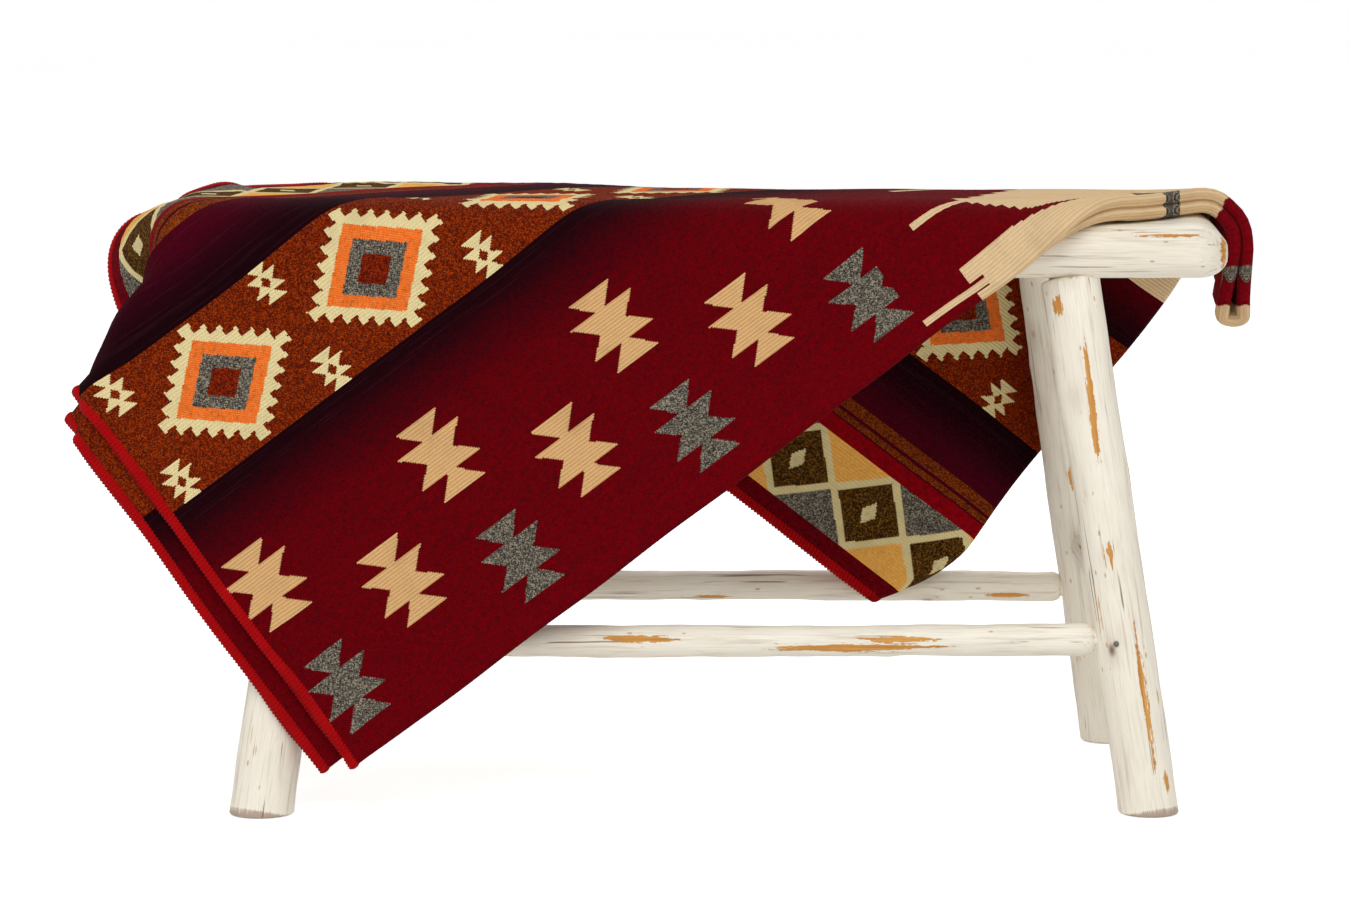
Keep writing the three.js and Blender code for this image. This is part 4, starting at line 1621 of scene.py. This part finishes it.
    def hem(self, middle: Array) -> Object:
        """The overlocked edge: an oval roll carried round the sheet, its size rippling with each slanted stitch.

        Args:
            middle: the bench's middle in the frame, in metres.

        Returns:
            The finished object.
        """
        r, sides = self.corner - self.hem_inset, 10
        wide, long = self.half_width - self.corner, 2 * self.half_length - self.corner
        stitches = round((4 * wide + 2 * (long - self.corner) + 2 * np.pi * r) / self.stitch)
        count = stitches * 4
        at, out = rounded_outline((self.corner, -wide), (long, wide), r, r, count)
        centre = self.laid(at[:, 0], at[:, 1])
        du, dv, normal = self.facing(at[:, 0], at[:, 1])
        outward = unit(out[:, :1] * du + out[:, 1:] * dv)
        turns, around = np.arange(count)[:, None] / 4, np.arange(sides) * 2 * np.pi / sides
        swell = 1 + 0.13 * np.cos(turns * 2 * np.pi + around)
        a = np.cos(around)[None, :, None] * outward[:, None, :] * self.hem_width
        b = np.sin(around)[None, :, None] * normal[:, None, :] * self.hem_height
        verts = (centre[:, None, :] + (a + b) * swell[..., None]).reshape(-1, 3)
        faces = facing_out(verts, grid_faces(count, sides, wrap=True, closed=True))
        place = np.stack([*np.broadcast_arrays(turns, around / np.pi, 0.0)], -1).reshape(-1, 3)
        return make_piece("overlocked_edge", verts * MM + middle, faces, {"stitch": place})

    def build(self, cloth: Material, yarn: Material) -> None:
        middle = self.drape.sizes.middle()
        sheet = finish_piece(self.sheet(middle), cloth, "blanket_cloth", "folded_blanket")
        hem = finish_piece(self.hem(middle), yarn, "edge_yarn")
        flat = (2 * self.half_width * MM, 2 * self.half_length * MM)
        LOG.info("blanket: %.2f by %.2f m open", *flat)


# ---------------------------------------------------------------- studio


class Softness(Enum):
    """How wide a studio light is, in metres."""

    KEY = 2.6
    FILL = 3.2
    RIM = 2.0


@dataclass(frozen=True)
class StudioLight:
    """One square area light: where it stands, what it looks at, its power and softness."""

    name: str
    place: tuple[float, float, float]
    aim: tuple[float, float, float]
    power: float
    softness: Softness

    def build(self) -> None:
        """Adds the light to the scene."""
        data = bpy.data.lights.new(self.name, "AREA")
        data.shape = "SQUARE"
        data.size = self.softness.value
        data.energy = self.power
        lamp = bpy.data.objects.new(self.name, data)
        bpy.context.scene.collection.objects.link(lamp)
        lamp.location = self.place
        way = Vector(self.aim) - Vector(self.place)
        lamp.rotation_euler = way.to_track_quat("-Z", "Y").to_euler()


@dataclass
class Studio:
    """Plain pale floor, soft lights all round, and the camera."""

    camera_place: tuple[float, float, float] = (-0.0359, -4.3414, 0.8574)
    pitch_down: float = math.radians(7.4619)
    turn_right: float = math.radians(0.1414)
    lens: float = 133.333
    surround: float = 0.5
    floor_glow: float = 0.52

    def camera(self, middle: Array) -> None:
        """Makes the camera, placed about the bench's middle."""
        data = bpy.data.cameras.new("view_camera")
        data.lens, data.sensor_width = self.lens, 36.0
        data.clip_start, data.clip_end = 0.1, 60.0
        camera = bpy.data.objects.new("view_camera", data)
        bpy.context.scene.collection.objects.link(camera)
        camera.location = (self.camera_place[0] + middle[0], self.camera_place[1] + middle[1], self.camera_place[2])
        camera.rotation_euler = (math.pi / 2 - self.pitch_down, 0.0, -self.turn_right)
        bpy.context.scene.camera = camera

    def floor(self) -> None:
        """A wide floor disc of rings, pale and matt."""
        rings, count, depth = np.concatenate([[0.01], np.geomspace(0.2, 14.0, 14)]), 64, 0.0006
        turn = np.arange(count) * 2 * np.pi / count
        flat = rings[:, None, None] * np.stack([np.cos(turn), np.sin(turn), 0 * turn], -1)
        points = np.concatenate([flat.reshape(-1, 3), [[0, 0, 0]]]) - [0, 0, depth]
        hub = fan_faces(len(points) - 1, np.arange(count))
        faces = np.concatenate([grid_faces(len(rings), count, wrap=True), hub])
        piece = make_piece("studio_floor", points, faces)
        material, b, shader = new_material("studio_floor_paint")
        soft = b.noise(b.node("ShaderNodeTexCoord").outputs["Object"], 0.7, 2, 0.5)
        seen = Field(b, b.node("ShaderNodeLightPath").outputs["Is Camera Ray"])
        b.feed(
            shader, Base_Color=b.tint(soft, linear(250, 250, 250), linear(247, 247, 247)), Roughness=0.9,
            Specular_IOR_Level=0.1, Emission_Color=(1, 1, 1, 1), Emission_Strength=seen * self.floor_glow)
        piece.data.materials.append(material)

    def lights(self) -> None:
        """White surroundings, a broad light from the front left and above, a fill from the right and one behind."""
        world = bpy.data.worlds.new("studio_world")
        bpy.context.scene.world = world
        world.use_nodes = True
        back = world.node_tree.nodes["Background"]
        back.inputs[0].default_value = (1.0, 1.0, 1.0, 1.0)
        b = Book(world.node_tree)
        seen = Field(b, b.node("ShaderNodeLightPath").outputs["Is Camera Ray"])
        b.put(back.inputs[1], seen * (1.0 - self.surround) + self.surround)
        for light in (
            StudioLight("key_light", (-0.9, -2.7, 3.0), (0, 0, 0.3), 72.0, Softness.KEY),
            StudioLight("fill_light", (2.9, -2.2, 1.5), (0, 0, 0.3), 16.0, Softness.FILL),
            StudioLight("rim_light", (0.4, 2.6, 2.4), (0, 0, 0.4), 32.0, Softness.RIM),
        ):
            light.build()

    def build(self) -> None:
        """Makes the whole studio."""
        middle = BenchSizes().middle()
        bpy.context.scene.view_settings.view_transform = "Standard"
        self.camera(middle)
        self.floor()
        self.lights()


def main() -> None:
    """Builds the studio, the bench and the blanket in turn."""
    logging.basicConfig(level=logging.INFO, format="%(name)s %(message)s", stream=sys.stdout, force=True)
    Studio().build()
    wood_finish, wool = LimedWood(), WovenWool()
    wood = wood_finish.material(wood_finish.effect())
    cloth = wool.material(wool.effect())
    bench = LogBench()
    bench.build(wood, BradSteel().material())
    blanket = FoldedBlanket(StackDrape(bench.sizes).relax())
    blanket.build(cloth, EdgeYarn().material())


if __name__ == "__main__":
    main()
